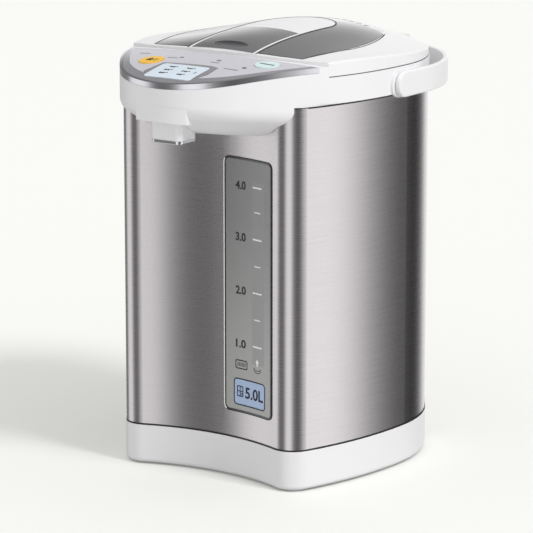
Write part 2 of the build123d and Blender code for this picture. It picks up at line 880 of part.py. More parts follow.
def make_chrome_trim():
    slab = panel_dome() - panel_dome(trim_height)
    ring = head_plan(0) - head_plan(-trim_width) - panel_disc(0)
    return prism(ring, head_low, tall) & slab


def make_display_window():
    slab = panel_dome(-display_proud) - panel_dome(display_thickness - display_proud)
    return display_block(0, 0) & slab


def make_display_module():
    floor = board_height + board_thickness
    top = panel_height(module_width / 2, -display_reach - module_length / 2, shelf_bottom) - fit_gap
    return block(-module_width / 2, module_width / 2, -display_reach - module_length / 2,
                 -display_reach + module_length / 2, floor, top)


def make_control_board():
    board = block(-board_width / 2, board_width / 2, -board_reach - board_length / 2,
                  -board_reach + board_length / 2, board_height, board_height + board_thickness)
    board = board & prism(head_plan(-head_wall - board_gap), head_low, tall)
    for x, y in board_posts:
        board -= disc(x, y, screw_radius + running_gap, board_height, board_height + board_thickness)
    top = board_height + board_thickness
    for x, y in (lock_place, dispense_place):
        board += block(x - switch_half_width, x + switch_half_width, y - switch_half_width,
                       y + switch_half_width, top, top + switch_height)
    return board


def make_board_screws():
    screws = []
    for x, y in board_posts:
        shank = disc(x, y, screw_radius, board_height, board_height + board_screw_length)
        head = disc(x, y, screw_head_radius, board_height - screw_head_height, board_height)
        screws.append(shank + head)
    return screws


def make_key(place):
    x, y = place
    cap = disc(x, y, key_radius, head_low, tall) & (panel_dome(-key_proud) - panel_dome(key_height - key_proud))
    low = board_height + board_thickness + switch_height + key_travel + seat_gap
    stem = disc(x, y, stem_radius, low, panel_height(x, y, key_height / 2))
    return cap + stem


def make_indicator_lenses():
    lenses = []
    slab = panel_dome(-lamp_proud) - panel_dome(lamp_depth)
    for x, y in lamp_places:
        lenses.append(disc(x, y, lamp_radius, head_low, tall) & slab)
    return lenses


# ---- spout -----------------------------------------------------------------
def make_spout_nozzle():
    shoulder = nozzle_top - nozzle_shoulder
    body = nozzle_block(0, nozzle_bottom + rim_height, shoulder)
    body -= disc(0, -nozzle_reach, spout_bore_radius, nozzle_bottom, nozzle_bottom + rim_height + spout_bore_length)
    body += disc(0, -nozzle_reach, hose_radius, shoulder, nozzle_top)
    return body - disc(0, -nozzle_reach, spigot_radius, nozzle_bottom, nozzle_top)


def make_nozzle_rim():
    rim = nozzle_block(rim_proud, nozzle_bottom, nozzle_bottom + rim_height)
    rim = fillet(rim.faces().sort_by(Axis.Z)[0].edges(), rim_edge_radius)
    return rim - disc(0, -nozzle_reach, spout_mouth_radius, nozzle_bottom, nozzle_bottom + rim_height)


def make_outlet_hose():
    points = outlet_points()
    return tube_along(points, outlet_bends, hose_radius) - tube_along(points, outlet_bends, hose_bore)


# ---- vessel and water path -------------------------------------------------
def make_inner_vessel():
    outer_radius = vessel_radius + vessel_wall
    body = disc(0, 0, outer_radius, vessel_bottom, floor_top + vessel_wall)
    body = fillet(body.faces().sort_by(Axis.Z)[0].edges(), vessel_corner)
    body += disc(0, 0, vessel_flange_radius, floor_top, floor_top + vessel_wall)
    hollow = disc(0, 0, vessel_radius, vessel_bottom + vessel_wall, tall)
    hollow = fillet(hollow.faces().sort_by(Axis.Z)[0].edges(), vessel_corner - vessel_wall)
    drain = disc(pump_x, pump_y, drain_radius, vessel_bottom - vessel_wall, vessel_bottom + 2 * vessel_wall)
    return body - hollow - drain


def make_mouth_ring():
    floor = floor_top + vessel_wall + seat_gap
    deck_plan = head_plan(-head_wall - fit_gap) & lid_disc(seam_gap - fit_gap)
    deck = prism(deck_plan, mouth_deck_height, mouth_deck_height + mouth_thickness)
    top = mouth_deck_height + mouth_thickness
    deck -= disc(0, 0, mouth_top_radius, 0, tall)
    profile = Plane.XZ * Polyline((mouth_radius, floor), (mouth_top_radius, top),
                                  (mouth_top_radius + mouth_thickness, top),
                                  (mouth_radius + mouth_thickness, floor), close=True)
    return deck + revolve(make_face(profile), Axis.Z)


def make_band_heater():
    inner = vessel_radius + vessel_wall + fit_gap
    ring = disc(0, 0, inner + heater_thickness, heater_bottom, heater_bottom + heater_height)
    ring -= disc(0, 0, inner, heater_bottom, heater_bottom + heater_height)
    return ring - block(-heater_opening, heater_opening, 0, beak_reach, heater_bottom, heater_bottom + heater_height)


def make_thermostat():
    x, y = thermostat_place
    top = vessel_bottom - seat_gap
    neck = top - thermostat_cup_height
    cup = disc(x, y, thermostat_radius, neck, top)
    cup += disc(x, y, thermostat_neck_radius, top - thermostat_height, neck)
    return cup + block(x - thermostat_tab_length, x + thermostat_tab_length, y - thermostat_tab_width / 2,
                       y + thermostat_tab_width / 2, neck - thermostat_tab_height, neck)


def make_temperature_sensor():
    x, y = sensor_place
    top = vessel_bottom - seat_gap
    low = top - sensor_height
    return disc(x, y, sensor_radius, low, top) + disc(x, y, sensor_flange_radius, low - sensor_flange_height, low)


def make_support_posts():
    posts = []
    for angle in post_angles:
        x = post_reach * cos(radians(angle))
        y = post_reach * sin(radians(angle))
        posts.append(disc(x, y, post_radius, plate_top, vessel_bottom - seat_gap)
                     + disc(x, y, post_foot_radius, plate_top, plate_top + post_foot_height))
    return posts


def lower_hose_points():
    away = hypot(gauge_centre - pump_x, -tube_reach - pump_y)
    ux = (gauge_centre - pump_x) / away
    uy = (-tube_reach - pump_y) / away
    height = chamber_bottom + chamber_height / 2
    start = (pump_x + ux * pump_radius, pump_y + uy * pump_radius, height)
    return [start, (gauge_centre, -tube_reach, height), (gauge_centre, -tube_reach, tube_bottom)]


lower_bend = [16.0]


def make_lower_hose():
    points = lower_hose_points()
    return tube_along(points, lower_bend, hose_radius) - tube_along(points, lower_bend, hose_bore)


def make_pump_housing():
    body = disc(pump_x, pump_y, pump_radius, pump_bottom, pump_bottom + pump_height)
    body += disc(pump_x, pump_y, inlet_radius, pump_bottom + pump_height, vessel_bottom - seat_gap)
    body -= disc(pump_x, pump_y, chamber_radius, chamber_bottom, chamber_bottom + chamber_height)
    body -= disc(pump_x, pump_y, inlet_bore, chamber_bottom, vessel_bottom)
    body -= disc(pump_x, pump_y, shaft_radius + running_gap, 0, chamber_bottom)
    start = lower_hose_points()[0]
    away = hypot(start[0] - pump_x, start[1] - pump_y)
    turn = degrees(atan2(start[1] - pump_y, start[0] - pump_x))
    port = Pos(away - port_length / 2 + running_gap, 0, start[2]) * Rot(0, 90, 0) * Cylinder(hose_bore, port_length)
    return body - Pos(pump_x, pump_y, 0) * Rot(0, 0, turn) * port


def make_pump_impeller():
    low = chamber_bottom + (chamber_height - impeller_height) / 2
    hub = disc(pump_x, pump_y, hub_radius, low, low + impeller_height)
    wheel = hub + disc(pump_x, pump_y, impeller_radius, low, low + web_thickness)
    for step in range(blade_count):
        blade = block(blade_start, impeller_radius - blade_tip_gap, -blade_thickness / 2, blade_thickness / 2, low,
                      low + impeller_height)
        wheel += Pos(pump_x, pump_y, 0) * Rot(0, 0, step * 360 / blade_count) * blade
    return wheel + disc(pump_x, pump_y, shaft_radius, pump_bottom - shaft_depth, low + web_thickness)


def make_pump_motor():
    low = plate_top + mount_height
    top = pump_bottom - seat_gap
    can = disc(pump_x, pump_y, motor_radius, low, top)
    can = fillet(can.faces().sort_by(Axis.Z)[0].edges(), motor_edge_radius)
    return can - disc(pump_x, pump_y, shaft_radius + running_gap, pump_bottom - shaft_depth - fit_gap, top)


def make_motor_mount():
    pad = disc(pump_x, pump_y, mount_radius, plate_top, plate_top + mount_height - seat_gap)
    return pad - disc(pump_x, pump_y, mount_hole_radius, plate_top, plate_top + mount_height)


def make_tip_over_valve():
    top = tube_top + valve_height
    body = disc(gauge_centre, -tube_reach, valve_radius, tube_top, top)
    body = body & prism(body_plan(-steel_thickness - fit_gap), tube_top, top)
    body -= disc(gauge_centre, -tube_reach, valve_seat_radius, tube_top, top)
    chamber = disc(gauge_centre, -tube_reach, valve_bore, tube_top + valve_wall, top - valve_wall)
    return body - chamber


def make_valve_ball():
    height = tube_top + valve_wall + ball_radius + seat_gap
    return Pos(gauge_centre, -tube_reach, height) * Sphere(ball_radius)


# ---- electrics -------------------------------------------------------------
def make_power_board():
    low = power_board_height
    top = low + board_thickness
    x, y = power_board_x, power_board_y
    half_x, half_y = power_board_width / 2, power_board_length / 2
    board = block(x - half_x, x + half_x, y - half_y, y + half_y, low, top)
    for dx, dy, long, wide, high in board_blocks:
        board += block(x + dx, x + dx + long, y + dy, y + dy + wide, top, top + high)
    dx, dy, radius, high = board_capacitor
    return board + disc(x + dx, y + dy, radius, top, top + high)


def make_power_socket():
    body = socket_frame(0)
    body = fillet(body.edges().filter_by(Axis.Z), socket_corner)
    height = socket_bottom + socket_height / 2
    recess = Box(recess_depth, recess_width, recess_height)
    recess = Rot(0, 0, socket_angle) * Pos(socket_reach - recess_depth / 2, 0, height) * recess
    body -= recess
    return body - socket_pin_rods(running_gap)[0] - socket_pin_rods(running_gap)[1] - socket_pin_rods(running_gap)[2]


def socket_pin_rods(grow):
    rods = []
    height = socket_bottom + socket_height / 2
    back = socket_reach - socket_depth
    length = socket_depth - recess_depth + pin_length
    for step in (-1, 0, 1):
        rod = Pos(back + length / 2, step * pin_spacing, height) * Rot(0, 90, 0) * Cylinder(pin_radius + grow, length)
        rods.append(Rot(0, 0, socket_angle) * rod)
    return rods


# ---- lid -------------------------------------------------------------------
def inlay_plan(grow=0.0):
    """Outline around both glossy wings of the lid top."""
    front = (inlay_outer_front + grow, -inlay_front_reach - grow)
    back = (inlay_outer_back + grow, inlay_back_corner + grow)
    bulge = inlay_outer_middle + grow
    right = ThreePointArc(front, (bulge, -inlay_outer_reach), back)
    rear = ThreePointArc(back, (0, inlay_back + grow), (-back[0], back[1]))
    left = ThreePointArc((-back[0], back[1]), (-bulge, -inlay_outer_reach), (-front[0], front[1]))
    nose = ThreePointArc((-front[0], front[1]), (0, front[1] - inlay_front_bow), front)
    plan = ring_face([right, rear, left, nose])
    return fillet(plan.vertices().sort_by(Axis.Y)[-2:], inlay_corner + grow)


def lever_plan(grow=0.0):
    half = lever_half_width + grow
    stem = Pos(0, (lever_back - lever_front_reach - grow) / 2) * Rectangle(
        2 * half, lever_back + lever_front_reach + grow)
    return stem + Pos(0, lever_back) * Circle(half)


def vent_plan(grow=0.0):
    """Crescent strip behind the wings, concentric with their rear edge."""
    inner = vent_radius + vent_gap
    ring = Circle(inner + vent_width + grow) - Circle(inner - grow)
    span = Rectangle(2 * (vent_half_span + grow), 2 * inlay_back)
    return (Pos(0, vent_centre) * ring) & (Pos(0, inlay_back) * span)


def make_lid_cover():
    shell = prism(lid_plan(0), lid_seam + seam_gap, tall) & lid_dome()
    crown = shell.faces().sort_by(Axis.Z)[-1]
    shell = fillet([edge for edge in crown.edges() if edge.center().Y > spare - lid_front_reach], lid_edge_radius)
    shell -= prism(lid_plan(-lid_wall), head_low, tall) & lid_dome(lid_wall)
    shell -= prism(inlay_plan(inlay_gap), head_low, tall) - lid_dome(inlay_depth + running_gap)
    shell -= prism(vent_plan(running_gap), head_low, tall) - lid_dome(inlay_depth + running_gap)
    shell -= prism(lever_plan(lever_gap), head_low, tall)
    shell -= keeper_slot(fit_gap)
    for slot in vent_slots():
        shell -= slot
    return shell


def vent_slots():
    slots = []
    reach = vent_radius + vent_gap + vent_width / 2
    for step in range(vent_slot_count):
        turn = (step - (vent_slot_count - 1) / 2) * degrees(vent_slot_pitch / reach)
        slot = Pos(0, reach, 0) * Box(vent_slot_width, vent_slot_length, 2 * tall)
        slots.append(Pos(0, vent_centre, 0) * Rot(0, 0, turn) * slot)
    return slots


def make_lid_inlay():
    slab = lid_dome() - lid_dome(inlay_depth)
    wings = prism(inlay_plan(0), head_low, tall) & slab
    return wings - prism(lever_plan(lever_gap), head_low, tall)


def make_steam_vent():
    slab = lid_dome() - lid_dome(inlay_depth)
    strip = prism(vent_plan(0), head_low, tall) & slab
    for slot in vent_slots():
        strip -= slot
    return strip


def insert_plan(grow=0.0):
    half = insert_half_width + grow
    shoulder = -insert_back_reach - insert_back_bow + grow
    back = ThreePointArc((half, shoulder), (0, -insert_back_reach + grow), (-half, shoulder))
    rest = Polyline((-half, shoulder), (-half, -insert_front_reach - grow), (half, -insert_front_reach - grow),
                    (half, shoulder))
    return ring_face([back] + list(rest.edges()))


def dish():
    plan = Pos(0, -dish_reach) * Ellipse(dish_half_width, dish_half_length)
    return prism(plan, head_low, tall) - lid_dome(dish_depth)


def lug_face():
    return lever_axis_height, -lever_axis_reach


def make_release_lever():
    slab = lid_dome() - lid_dome(lever_thickness)
    lever = prism(lever_plan(0), head_low, tall) & slab
    lever -= prism(insert_plan(running_gap), head_low, tall) - lid_dome(insert_thickness + running_gap)
    height, y = lug_face()
    for side in (-1, 1):
        near, far = sorted((side * lug_inner, side * (lug_inner + lug_width)))
        lug = cross_rod(y, height, lug_radius, near, far)
        lug += block(near, far, y - lug_radius, y + lug_radius, height, tall) & lid_dome(lever_thickness / 2)
        lever += lug
    return lever - cross_rod(y, height, lever_pin_radius + running_gap, -lever_half_width, lever_half_width)


def make_lever_insert():
    slab = lid_dome() - lid_dome(insert_thickness)
    return (prism(insert_plan(0), head_low, tall) & slab) - dish()


def make_lever_pin():
    height, y = lug_face()
    half = lug_inner + lug_width + ear_gap + ear_width
    return cross_rod(y, height, lever_pin_radius, -half, half)


def make_lid_base():
    plate_high = lid_plate_bottom + lid_plate_thickness
    plan = lid_plan(-lid_wall - fit_gap)
    base = prism(plan, lid_plate_bottom, plate_high) & lid_dome(lid_wall + fit_gap)
    base += disc(0, 0, plug_radius, plug_bottom, plate_high)
    base -= disc(0, 0, plug_radius - plug_wall, plug_bottom + plug_wall, tall)
    height, y = lug_face()
    for side in (-1, 1):
        near = side * (lug_inner + lug_width + ear_gap)
        far = near + side * ear_width
        near, far = sorted((near, far))
        base += block(near, far, y - ear_half_length, y + ear_half_length, plug_bottom + plug_wall / 2, height)
        base += cross_rod(y, height, ear_radius, near, far)
    base -= cross_rod(y, height, lever_pin_radius + running_gap, -plug_radius, plug_radius)
    front = -lid_front_reach + lid_wall + bolt_guide_wall
    for side in (-1, 1):
        gap = bolt_width / 2 + fit_gap
        near, far = sorted((side * gap, side * (gap + bolt_guide_wall)))
        base += block(near, far, front, front + bolt_guide_length, lid_plate_bottom, bolt_bottom + bolt_height)
    stop = -lid_front_reach + bolt_stow + bolt_length + spring_length + bolt_travel + 3 * seat_gap
    base += block(-stop_half_width, stop_half_width, stop, stop + bolt_guide_wall, plug_bottom + plug_wall / 2,
                  bolt_bottom + bolt_height)
    base -= disc(0, 0, steam_duct_radius, plug_bottom, plug_bottom + plug_wall)
    return base


def make_latch_bolt():
    low = -lid_front_reach + bolt_stow
    body = block(-bolt_width / 2, bolt_width / 2, low, low + bolt_length, bolt_bottom, bolt_bottom + bolt_height)
    nose = body.faces().sort_by(Axis.Y)[0].edges().sort_by(Axis.Z)[-1]
    return chamfer(nose, bolt_chamfer)


def make_latch_spring():
    start = -lid_front_reach + bolt_stow + bolt_length + seat_gap + spring_wire
    height = bolt_bottom + bolt_height / 2
    length = spring_length - 2 * spring_wire
    coil = Helix(pitch=length / spring_turns, height=length, radius=spring_radius)
    section = Plane(origin=coil @ 0, z_dir=coil % 0) * Circle(spring_wire)
    spring = sweep(section, path=coil, is_frenet=True)
    return Pos(0, start, height) * Rot(-90, 0, 0) * spring


def make_lid_liner():
    top = plug_bottom
    plate = disc(0, 0, plug_radius - liner_inset, top - liner_thickness, top)
    plate = fillet(plate.faces().sort_by(Axis.Z)[0].edges(), liner_edge_radius)
    return plate - disc(0, 0, steam_duct_radius, head_low, tall)


def make_lid_gasket():
    low = floor_top + vessel_wall + seat_gap
    ring = disc(0, 0, gasket_radius, low, low + gasket_height)
    ring = fillet(ring.faces().sort_by(Axis.Z)[-1].edges(), gasket_edge_radius)
    inner = plug_radius + seat_gap
    return ring - disc(0, 0, inner, low, low + gasket_height)


def make_steam_cap():
    top = plug_bottom - liner_thickness
    low = top - steam_cap_height
    cap = disc(0, 0, steam_cap_radius, low, top)
    cap = fillet(cap.faces().sort_by(Axis.Z)[0].edges(), steam_cap_edge_radius)
    cap -= disc(0, 0, steam_duct_bore, low + steam_cap_floor, top)
    for step in range(steam_port_count):
        port = Pos(steam_cap_radius / 2 + steam_port_inset, 0, (low + top) / 2) * Box(
            steam_cap_radius, steam_port_width, steam_port_height)
        cap -= Rot(0, 0, (step + 1 / 2) * 360 / steam_port_count) * port
    neck = disc(0, 0, steam_duct_radius - running_gap, top, plug_bottom + plug_wall)
    neck -= disc(0, 0, steam_duct_bore, top - steam_cap_floor, plug_bottom + plug_wall)
    return cap + neck


def make_hinge_pin():
    return cross_rod(hinge_y, hinge_z, hinge_pin_radius, -outer_knuckle, outer_knuckle)


# ---- handle ----------------------------------------------------------------
def make_handle_bail():
    def loop(radius):
        bow = Pos(0, bail_centre) * Circle(radius)
        legs = Pos(0, (bail_centre - pivot_reach) / 2) * Rectangle(2 * radius, bail_centre + pivot_reach)
        return bow + legs

    low, high = pivot_height - bail_half_height, pivot_height + bail_half_height
    strap = prism(loop(bail_outer), low, high) - prism(loop(bail_inner), low, high)
    strap = strap & block(-beak_reach, beak_reach, -pivot_reach, beak_reach, low, high)
    for side in (-1, 1):
        near, far = sorted((side * bail_inner, side * bail_outer))
        strap += cross_rod(-pivot_reach, pivot_height, bail_half_height, near, far)
    strap = fillet(strap.edges(), bail_edge_radius)
    for side in (-1, 1):
        near, far = sorted((side * (bail_inner - bail_gap), side * (bail_inner + pivot_depth + running_gap)))
        strap -= cross_rod(-pivot_reach, pivot_height, pivot_radius + running_gap, near, far)
    return strap


def make_handle_pins():
    pins = []
    for side in (-1, 1):
        near, far = sorted((side * pivot_root, side * (bail_inner + pivot_depth - running_gap)))
        pins.append(cross_rod(-pivot_reach, pivot_height, pivot_radius, near, far))
    return pins


# ---- write every piece -----------------------------------------------------
def write(node, shape):
    pieces = shape if isinstance(shape, list) else [shape]
    solids = []
    for piece in pieces:
        solids += list((Pos(0, axis_y, 0) * piece).solids())
    kept = [solid for solid in solids if solid.volume > 0.5]
    result = kept[0] if len(kept) == 1 else Compound(children=kept)
    export_step(result, os.path.join("parts", node + ".step"))
    print(node, len(kept), "solids", round(sum(solid.volume for solid in kept)))


def main():
    os.makedirs("parts", exist_ok=True)
    write("base_ring", make_base_ring())
    write("bottom_plate", make_bottom_plate())
    write("rubber_feet", make_rubber_feet())
    write("bottom_screws", make_bottom_screws())
    write("steel_shell", make_steel_shell())
    write("window_frame", make_window_frame())
    write("window_lens", make_window_lens())
    write("scale_plate", make_scale_plate())
    write("level_tube", make_level_tube())
    write("upper_housing", make_upper_housing())
    write("collar_ring", make_collar_ring())
    write("hinge_lugs", make_hinge_lugs())
    write("panel_plate", make_panel_plate())
    write("panel_band", make_panel_band())
    write("chrome_trim", make_chrome_trim())
    write("display_window", make_display_window())
    write("display_module", make_display_module())
    write("control_board", make_control_board())
    write("board_screws", make_board_screws())
    write("lock_button", make_key(lock_place))
    write("dispense_button", make_key(dispense_place))
    write("indicator_lenses", make_indicator_lenses())
    write("spout_nozzle", make_spout_nozzle())
    write("nozzle_rim", make_nozzle_rim())
    write("outlet_hose", make_outlet_hose())
    write("inner_vessel", make_inner_vessel())
    write("mouth_ring", make_mouth_ring())
    write("band_heater", make_band_heater())
    write("thermostat", make_thermostat())
    write("temperature_sensor", make_temperature_sensor())
    write("support_posts", make_support_posts())
    write("lower_hose", make_lower_hose())
    write("pump_housing", make_pump_housing())
    write("pump_impeller", make_pump_impeller())
    write("pump_motor", make_pump_motor())
    write("motor_mount", make_motor_mount())
    write("tip_over_valve", make_tip_over_valve())
    write("valve_ball", make_valve_ball())
    write("power_board", make_power_board())
    write("power_socket", make_power_socket())
    write("socket_pins", socket_pin_rods(0))
    write("lid_cover", make_lid_cover())
    write("lid_lugs", make_lid_lugs())
    write("lid_inlay", make_lid_inlay())
    write("steam_vent", make_steam_vent())
    write("release_lever", make_release_lever())
    write("lever_insert", make_lever_insert())
    write("lever_pin", make_lever_pin())
    write("latch_bolt", make_latch_bolt())
    write("latch_spring", make_latch_spring())
    write("lid_base", make_lid_base())
    write("lid_liner", make_lid_liner())
    write("lid_gasket", make_lid_gasket())
    write("steam_cap", make_steam_cap())
    write("hinge_pin", make_hinge_pin())
    write("handle_bail", make_handle_bail())
    write("handle_pins", make_handle_pins())


if __name__ == "__main__":
    main()
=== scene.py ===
import math
import random

import bmesh
import bpy
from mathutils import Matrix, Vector
from mathutils.geometry import convex_hull_2d


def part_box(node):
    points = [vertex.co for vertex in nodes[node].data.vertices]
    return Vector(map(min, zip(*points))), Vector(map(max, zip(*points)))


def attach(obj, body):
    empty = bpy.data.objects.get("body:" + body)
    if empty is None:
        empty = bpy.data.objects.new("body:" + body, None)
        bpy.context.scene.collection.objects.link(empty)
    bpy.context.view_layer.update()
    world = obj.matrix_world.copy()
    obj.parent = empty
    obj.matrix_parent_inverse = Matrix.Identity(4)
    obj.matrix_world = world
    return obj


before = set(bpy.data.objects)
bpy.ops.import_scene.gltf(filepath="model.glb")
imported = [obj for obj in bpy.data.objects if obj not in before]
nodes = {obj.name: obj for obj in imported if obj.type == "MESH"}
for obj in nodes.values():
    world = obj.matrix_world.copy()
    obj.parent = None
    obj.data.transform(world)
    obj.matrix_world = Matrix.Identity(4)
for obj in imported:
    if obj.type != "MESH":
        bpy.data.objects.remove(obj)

random.seed(7)
mm = 0.001
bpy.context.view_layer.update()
print("frame loaded", len(nodes), "nodes")

vesselLow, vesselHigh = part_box("inner_vessel")
axisY = (vesselLow.y + vesselHigh.y) / 2 / mm  # everything below is laid out about the vessel, in millimetres


def linear(hexColour, alpha=1.0):
    # sRGB hex to the linear values that Blender's sockets take
    values = [int(hexColour[i:i + 2], 16) / 255 for i in (1, 3, 5)]
    return [v / 12.92 if v <= 0.04045 else ((v + 0.055) / 1.055) ** 2.4 for v in values] + [alpha]


def addNode(tree, kind, settings=None, inputs=None, links=None):
    # one node with its settings, its fixed inputs and what feeds it
    made = tree.nodes.new(kind)
    for name, value in (settings or {}).items():
        setattr(made, name, value)
    for name, value in (inputs or {}).items():
        made.inputs[name].default_value = value
    for name, source in (links or {}).items():
        tree.links.new(source, made.inputs[name])
    return made


def newMaterial(name, inputs):
    material = bpy.data.materials.new(name)
    material.use_nodes = True
    tree = material.node_tree
    shader = tree.nodes["Principled BSDF"]
    for key, value in inputs.items():
        shader.inputs[key].default_value = value
    return material, tree, shader


def dress(material, *names):
    # gives a CAD node its finish
    for name in names:
        slots = nodes[name].data.materials
        slots.clear()
        slots.append(material)


def moulded(name, colour, roughness, grain=0.35, depth=0.02, coat=0.0, edge=0.6):
    # injection-moulded plastic: tool texture breaks up the gloss, the tone drifts a little, edges catch light
    material, tree, shader = newMaterial(name, {"Roughness": roughness, "IOR": 1.49, "Coat Weight": coat,
                                                "Coat Roughness": 0.05})
    place = addNode(tree, "ShaderNodeTexCoord")
    drift = addNode(tree, "ShaderNodeTexNoise", inputs={"Scale": 18.0, "Detail": 2.0},
                    links={"Vector": place.outputs["Object"]})
    tone = addNode(tree, "ShaderNodeMix", {"data_type": "RGBA"}, links={"Factor": drift.outputs["Fac"]})
    tone.inputs["A"].default_value = linear(colour)
    tone.inputs["B"].default_value = [c * 0.97 for c in linear(colour)[:3]] + [1]
    tree.links.new(tone.outputs["Result"], shader.inputs["Base Color"])
    speck = addNode(tree, "ShaderNodeTexNoise", inputs={"Scale": 1 / (grain * mm), "Detail": 2.0},
                    links={"Vector": place.outputs["Object"]})
    bump = addNode(tree, "ShaderNodeBump", inputs={"Strength": 0.25, "Distance": depth * mm},
                   links={"Height": speck.outputs["Fac"]})
    if edge > 0:
        soft = addNode(tree, "ShaderNodeBevel", {"samples": 4}, inputs={"Radius": edge * mm})
        tree.links.new(soft.outputs["Normal"], bump.inputs["Normal"])
    tree.links.new(bump.outputs["Normal"], shader.inputs["Normal"])
    return material


def brushedSteel(name, colour, roughness, lineHeight=0.9, lineLength=45.0, depth=0.005):
    # stainless sheet brushed along its length: fine level scratches draw reflections out up and down
    # the scratches are drawn about three times as coarse as real ones, so that they show
    material, tree, shader = newMaterial(name, {"Metallic": 1.0, "Roughness": roughness, "Anisotropic": 0.85,
                                                "Anisotropic Rotation": 0.25})
    place = addNode(tree, "ShaderNodeTexCoord")
    stretch = addNode(tree, "ShaderNodeMapping", links={"Vector": place.outputs["Object"]})
    stretch.inputs["Scale"].default_value = (1 / (lineLength * mm), 1 / (lineLength * mm),
                                             1 / (lineHeight * mm))
    lines = addNode(tree, "ShaderNodeTexNoise", inputs={"Scale": 1.0, "Detail": 4.0, "Roughness": 0.7},
                    links={"Vector": stretch.outputs["Vector"]})
    ramp = addNode(tree, "ShaderNodeMapRange",
                   inputs={"From Min": 0.3, "From Max": 0.7, "To Min": 0.93, "To Max": 1.05},
                   links={"Value": lines.outputs["Fac"]})
    tone = addNode(tree, "ShaderNodeVectorMath", {"operation": "SCALE"},
                   links={"Scale": ramp.outputs["Result"]})
    tone.inputs[0].default_value = linear(colour)[:3]
    tree.links.new(tone.outputs["Vector"], shader.inputs["Base Color"])
    rough = addNode(tree, "ShaderNodeMapRange", inputs={"To Min": roughness - 0.05, "To Max": roughness + 0.05},
                    links={"Value": lines.outputs["Fac"]})
    tree.links.new(rough.outputs["Result"], shader.inputs["Roughness"])
    bump = addNode(tree, "ShaderNodeBump", inputs={"Strength": 0.2, "Distance": depth * mm},
                   links={"Height": lines.outputs["Fac"]})
    tree.links.new(bump.outputs["Normal"], shader.inputs["Normal"])
    around = addNode(tree, "ShaderNodeTangent", {"direction_type": "RADIAL", "axis": "Z"})
    tree.links.new(around.outputs["Tangent"], shader.inputs["Tangent"])
    return material


def plated(name, colour, roughness):
    # polished plating: a mirror with the faintest waviness
    material, tree, shader = newMaterial(name, {"Metallic": 1.0, "Roughness": roughness,
                                                "Base Color": linear(colour)})
    place = addNode(tree, "ShaderNodeTexCoord")
    wave = addNode(tree, "ShaderNodeTexNoise", inputs={"Scale": 90.0, "Detail": 1.0},
                   links={"Vector": place.outputs["Object"]})
    bump = addNode(tree, "ShaderNodeBump", inputs={"Strength": 0.1, "Distance": 0.01 * mm},
                   links={"Height": wave.outputs["Fac"]})
    tree.links.new(bump.outputs["Normal"], shader.inputs["Normal"])
    return material


def clear(name, colour, roughness, ior):
    # clear glass or acrylic: light goes through, and only the edges and highlights show
    return newMaterial(name, {"Roughness": roughness, "IOR": ior, "Transmission Weight": 1.0,
                              "Base Color": linear(colour)})[0]


def lacquered(name, colour, roughness, flake=0.3):
    # silver lacquer: tiny metal flakes under a clear coat, so the sheen is soft and a little grainy
    material, tree, shader = newMaterial(name, {"Metallic": 0.15, "Roughness": roughness, "Coat Weight": 0.1,
                                                "Coat Roughness": 0.15})
    place = addNode(tree, "ShaderNodeTexCoord")
    grain = addNode(tree, "ShaderNodeTexNoise", inputs={"Scale": 1 / (flake * mm), "Detail": 1.0},
                    links={"Vector": place.outputs["Object"]})
    tone = addNode(tree, "ShaderNodeMix", {"data_type": "RGBA"}, links={"Factor": grain.outputs["Fac"]})
    tone.inputs["A"].default_value = linear(colour)
    tone.inputs["B"].default_value = [c * 0.92 for c in linear(colour)[:3]] + [1]
    tree.links.new(tone.outputs["Result"], shader.inputs["Base Color"])
    return material


def backPrintedWithReflection(name, low, high, lowColour, highColour, strip, stripTone, blur=0.35, cover=0.55):
    # acrylic window printed a flat grey on its back; the grey deepening upwards is a painted reflection
    # a cooler strip lies over the gauge
    material, tree, shader = newMaterial(name, {"Roughness": 0.22, "IOR": 1.49, "Coat Weight": 0.2,
                                                "Coat Roughness": 0.05})
    place = addNode(tree, "ShaderNodeTexCoord")
    split = addNode(tree, "ShaderNodeSeparateXYZ", links={"Vector": place.outputs["Object"]})
    rise = addNode(tree, "ShaderNodeMapRange", {"interpolation_type": "SMOOTHSTEP"},
                   inputs={"From Min": low * mm, "From Max": high * mm}, links={"Value": split.outputs["Z"]})
    tone = addNode(tree, "ShaderNodeMix", {"data_type": "RGBA"}, links={"Factor": rise.outputs["Result"]})
    tone.inputs["A"].default_value = linear(lowColour)
    tone.inputs["B"].default_value = linear(highColour)
    left, right, foot, head = strip
    spans = []
    for axis, start, end in (("X", left, right), ("Z", foot, head)):
        middle, half = (start + end) / 2, (end - start) / 2
        away = addNode(tree, "ShaderNodeMath", {"operation": "SUBTRACT"}, inputs={1: middle * mm},
                       links={0: split.outputs[axis]})
        size = addNode(tree, "ShaderNodeMath", {"operation": "ABSOLUTE"}, links={0: away.outputs["Value"]})
        spans.append(addNode(tree, "ShaderNodeMapRange",
                             inputs={"From Min": (half + blur) * mm, "From Max": (half - blur) * mm},
                             links={"Value": size.outputs["Value"]}))
    inside = addNode(tree, "ShaderNodeMath", {"operation": "MULTIPLY"},
                     links={0: spans[0].outputs["Result"], 1: spans[1].outputs["Result"]})
    veil = addNode(tree, "ShaderNodeMath", {"operation": "MULTIPLY"}, inputs={1: cover},
                   links={0: inside.outputs["Value"]})
    colour = addNode(tree, "ShaderNodeMix", {"data_type": "RGBA"}, links={"Factor": veil.outputs["Value"]})
    tree.links.new(tone.outputs["Result"], colour.inputs["A"])
    colour.inputs["B"].default_value = linear(stripTone)
    tree.links.new(colour.outputs["Result"], shader.inputs["Base Color"])
    return material


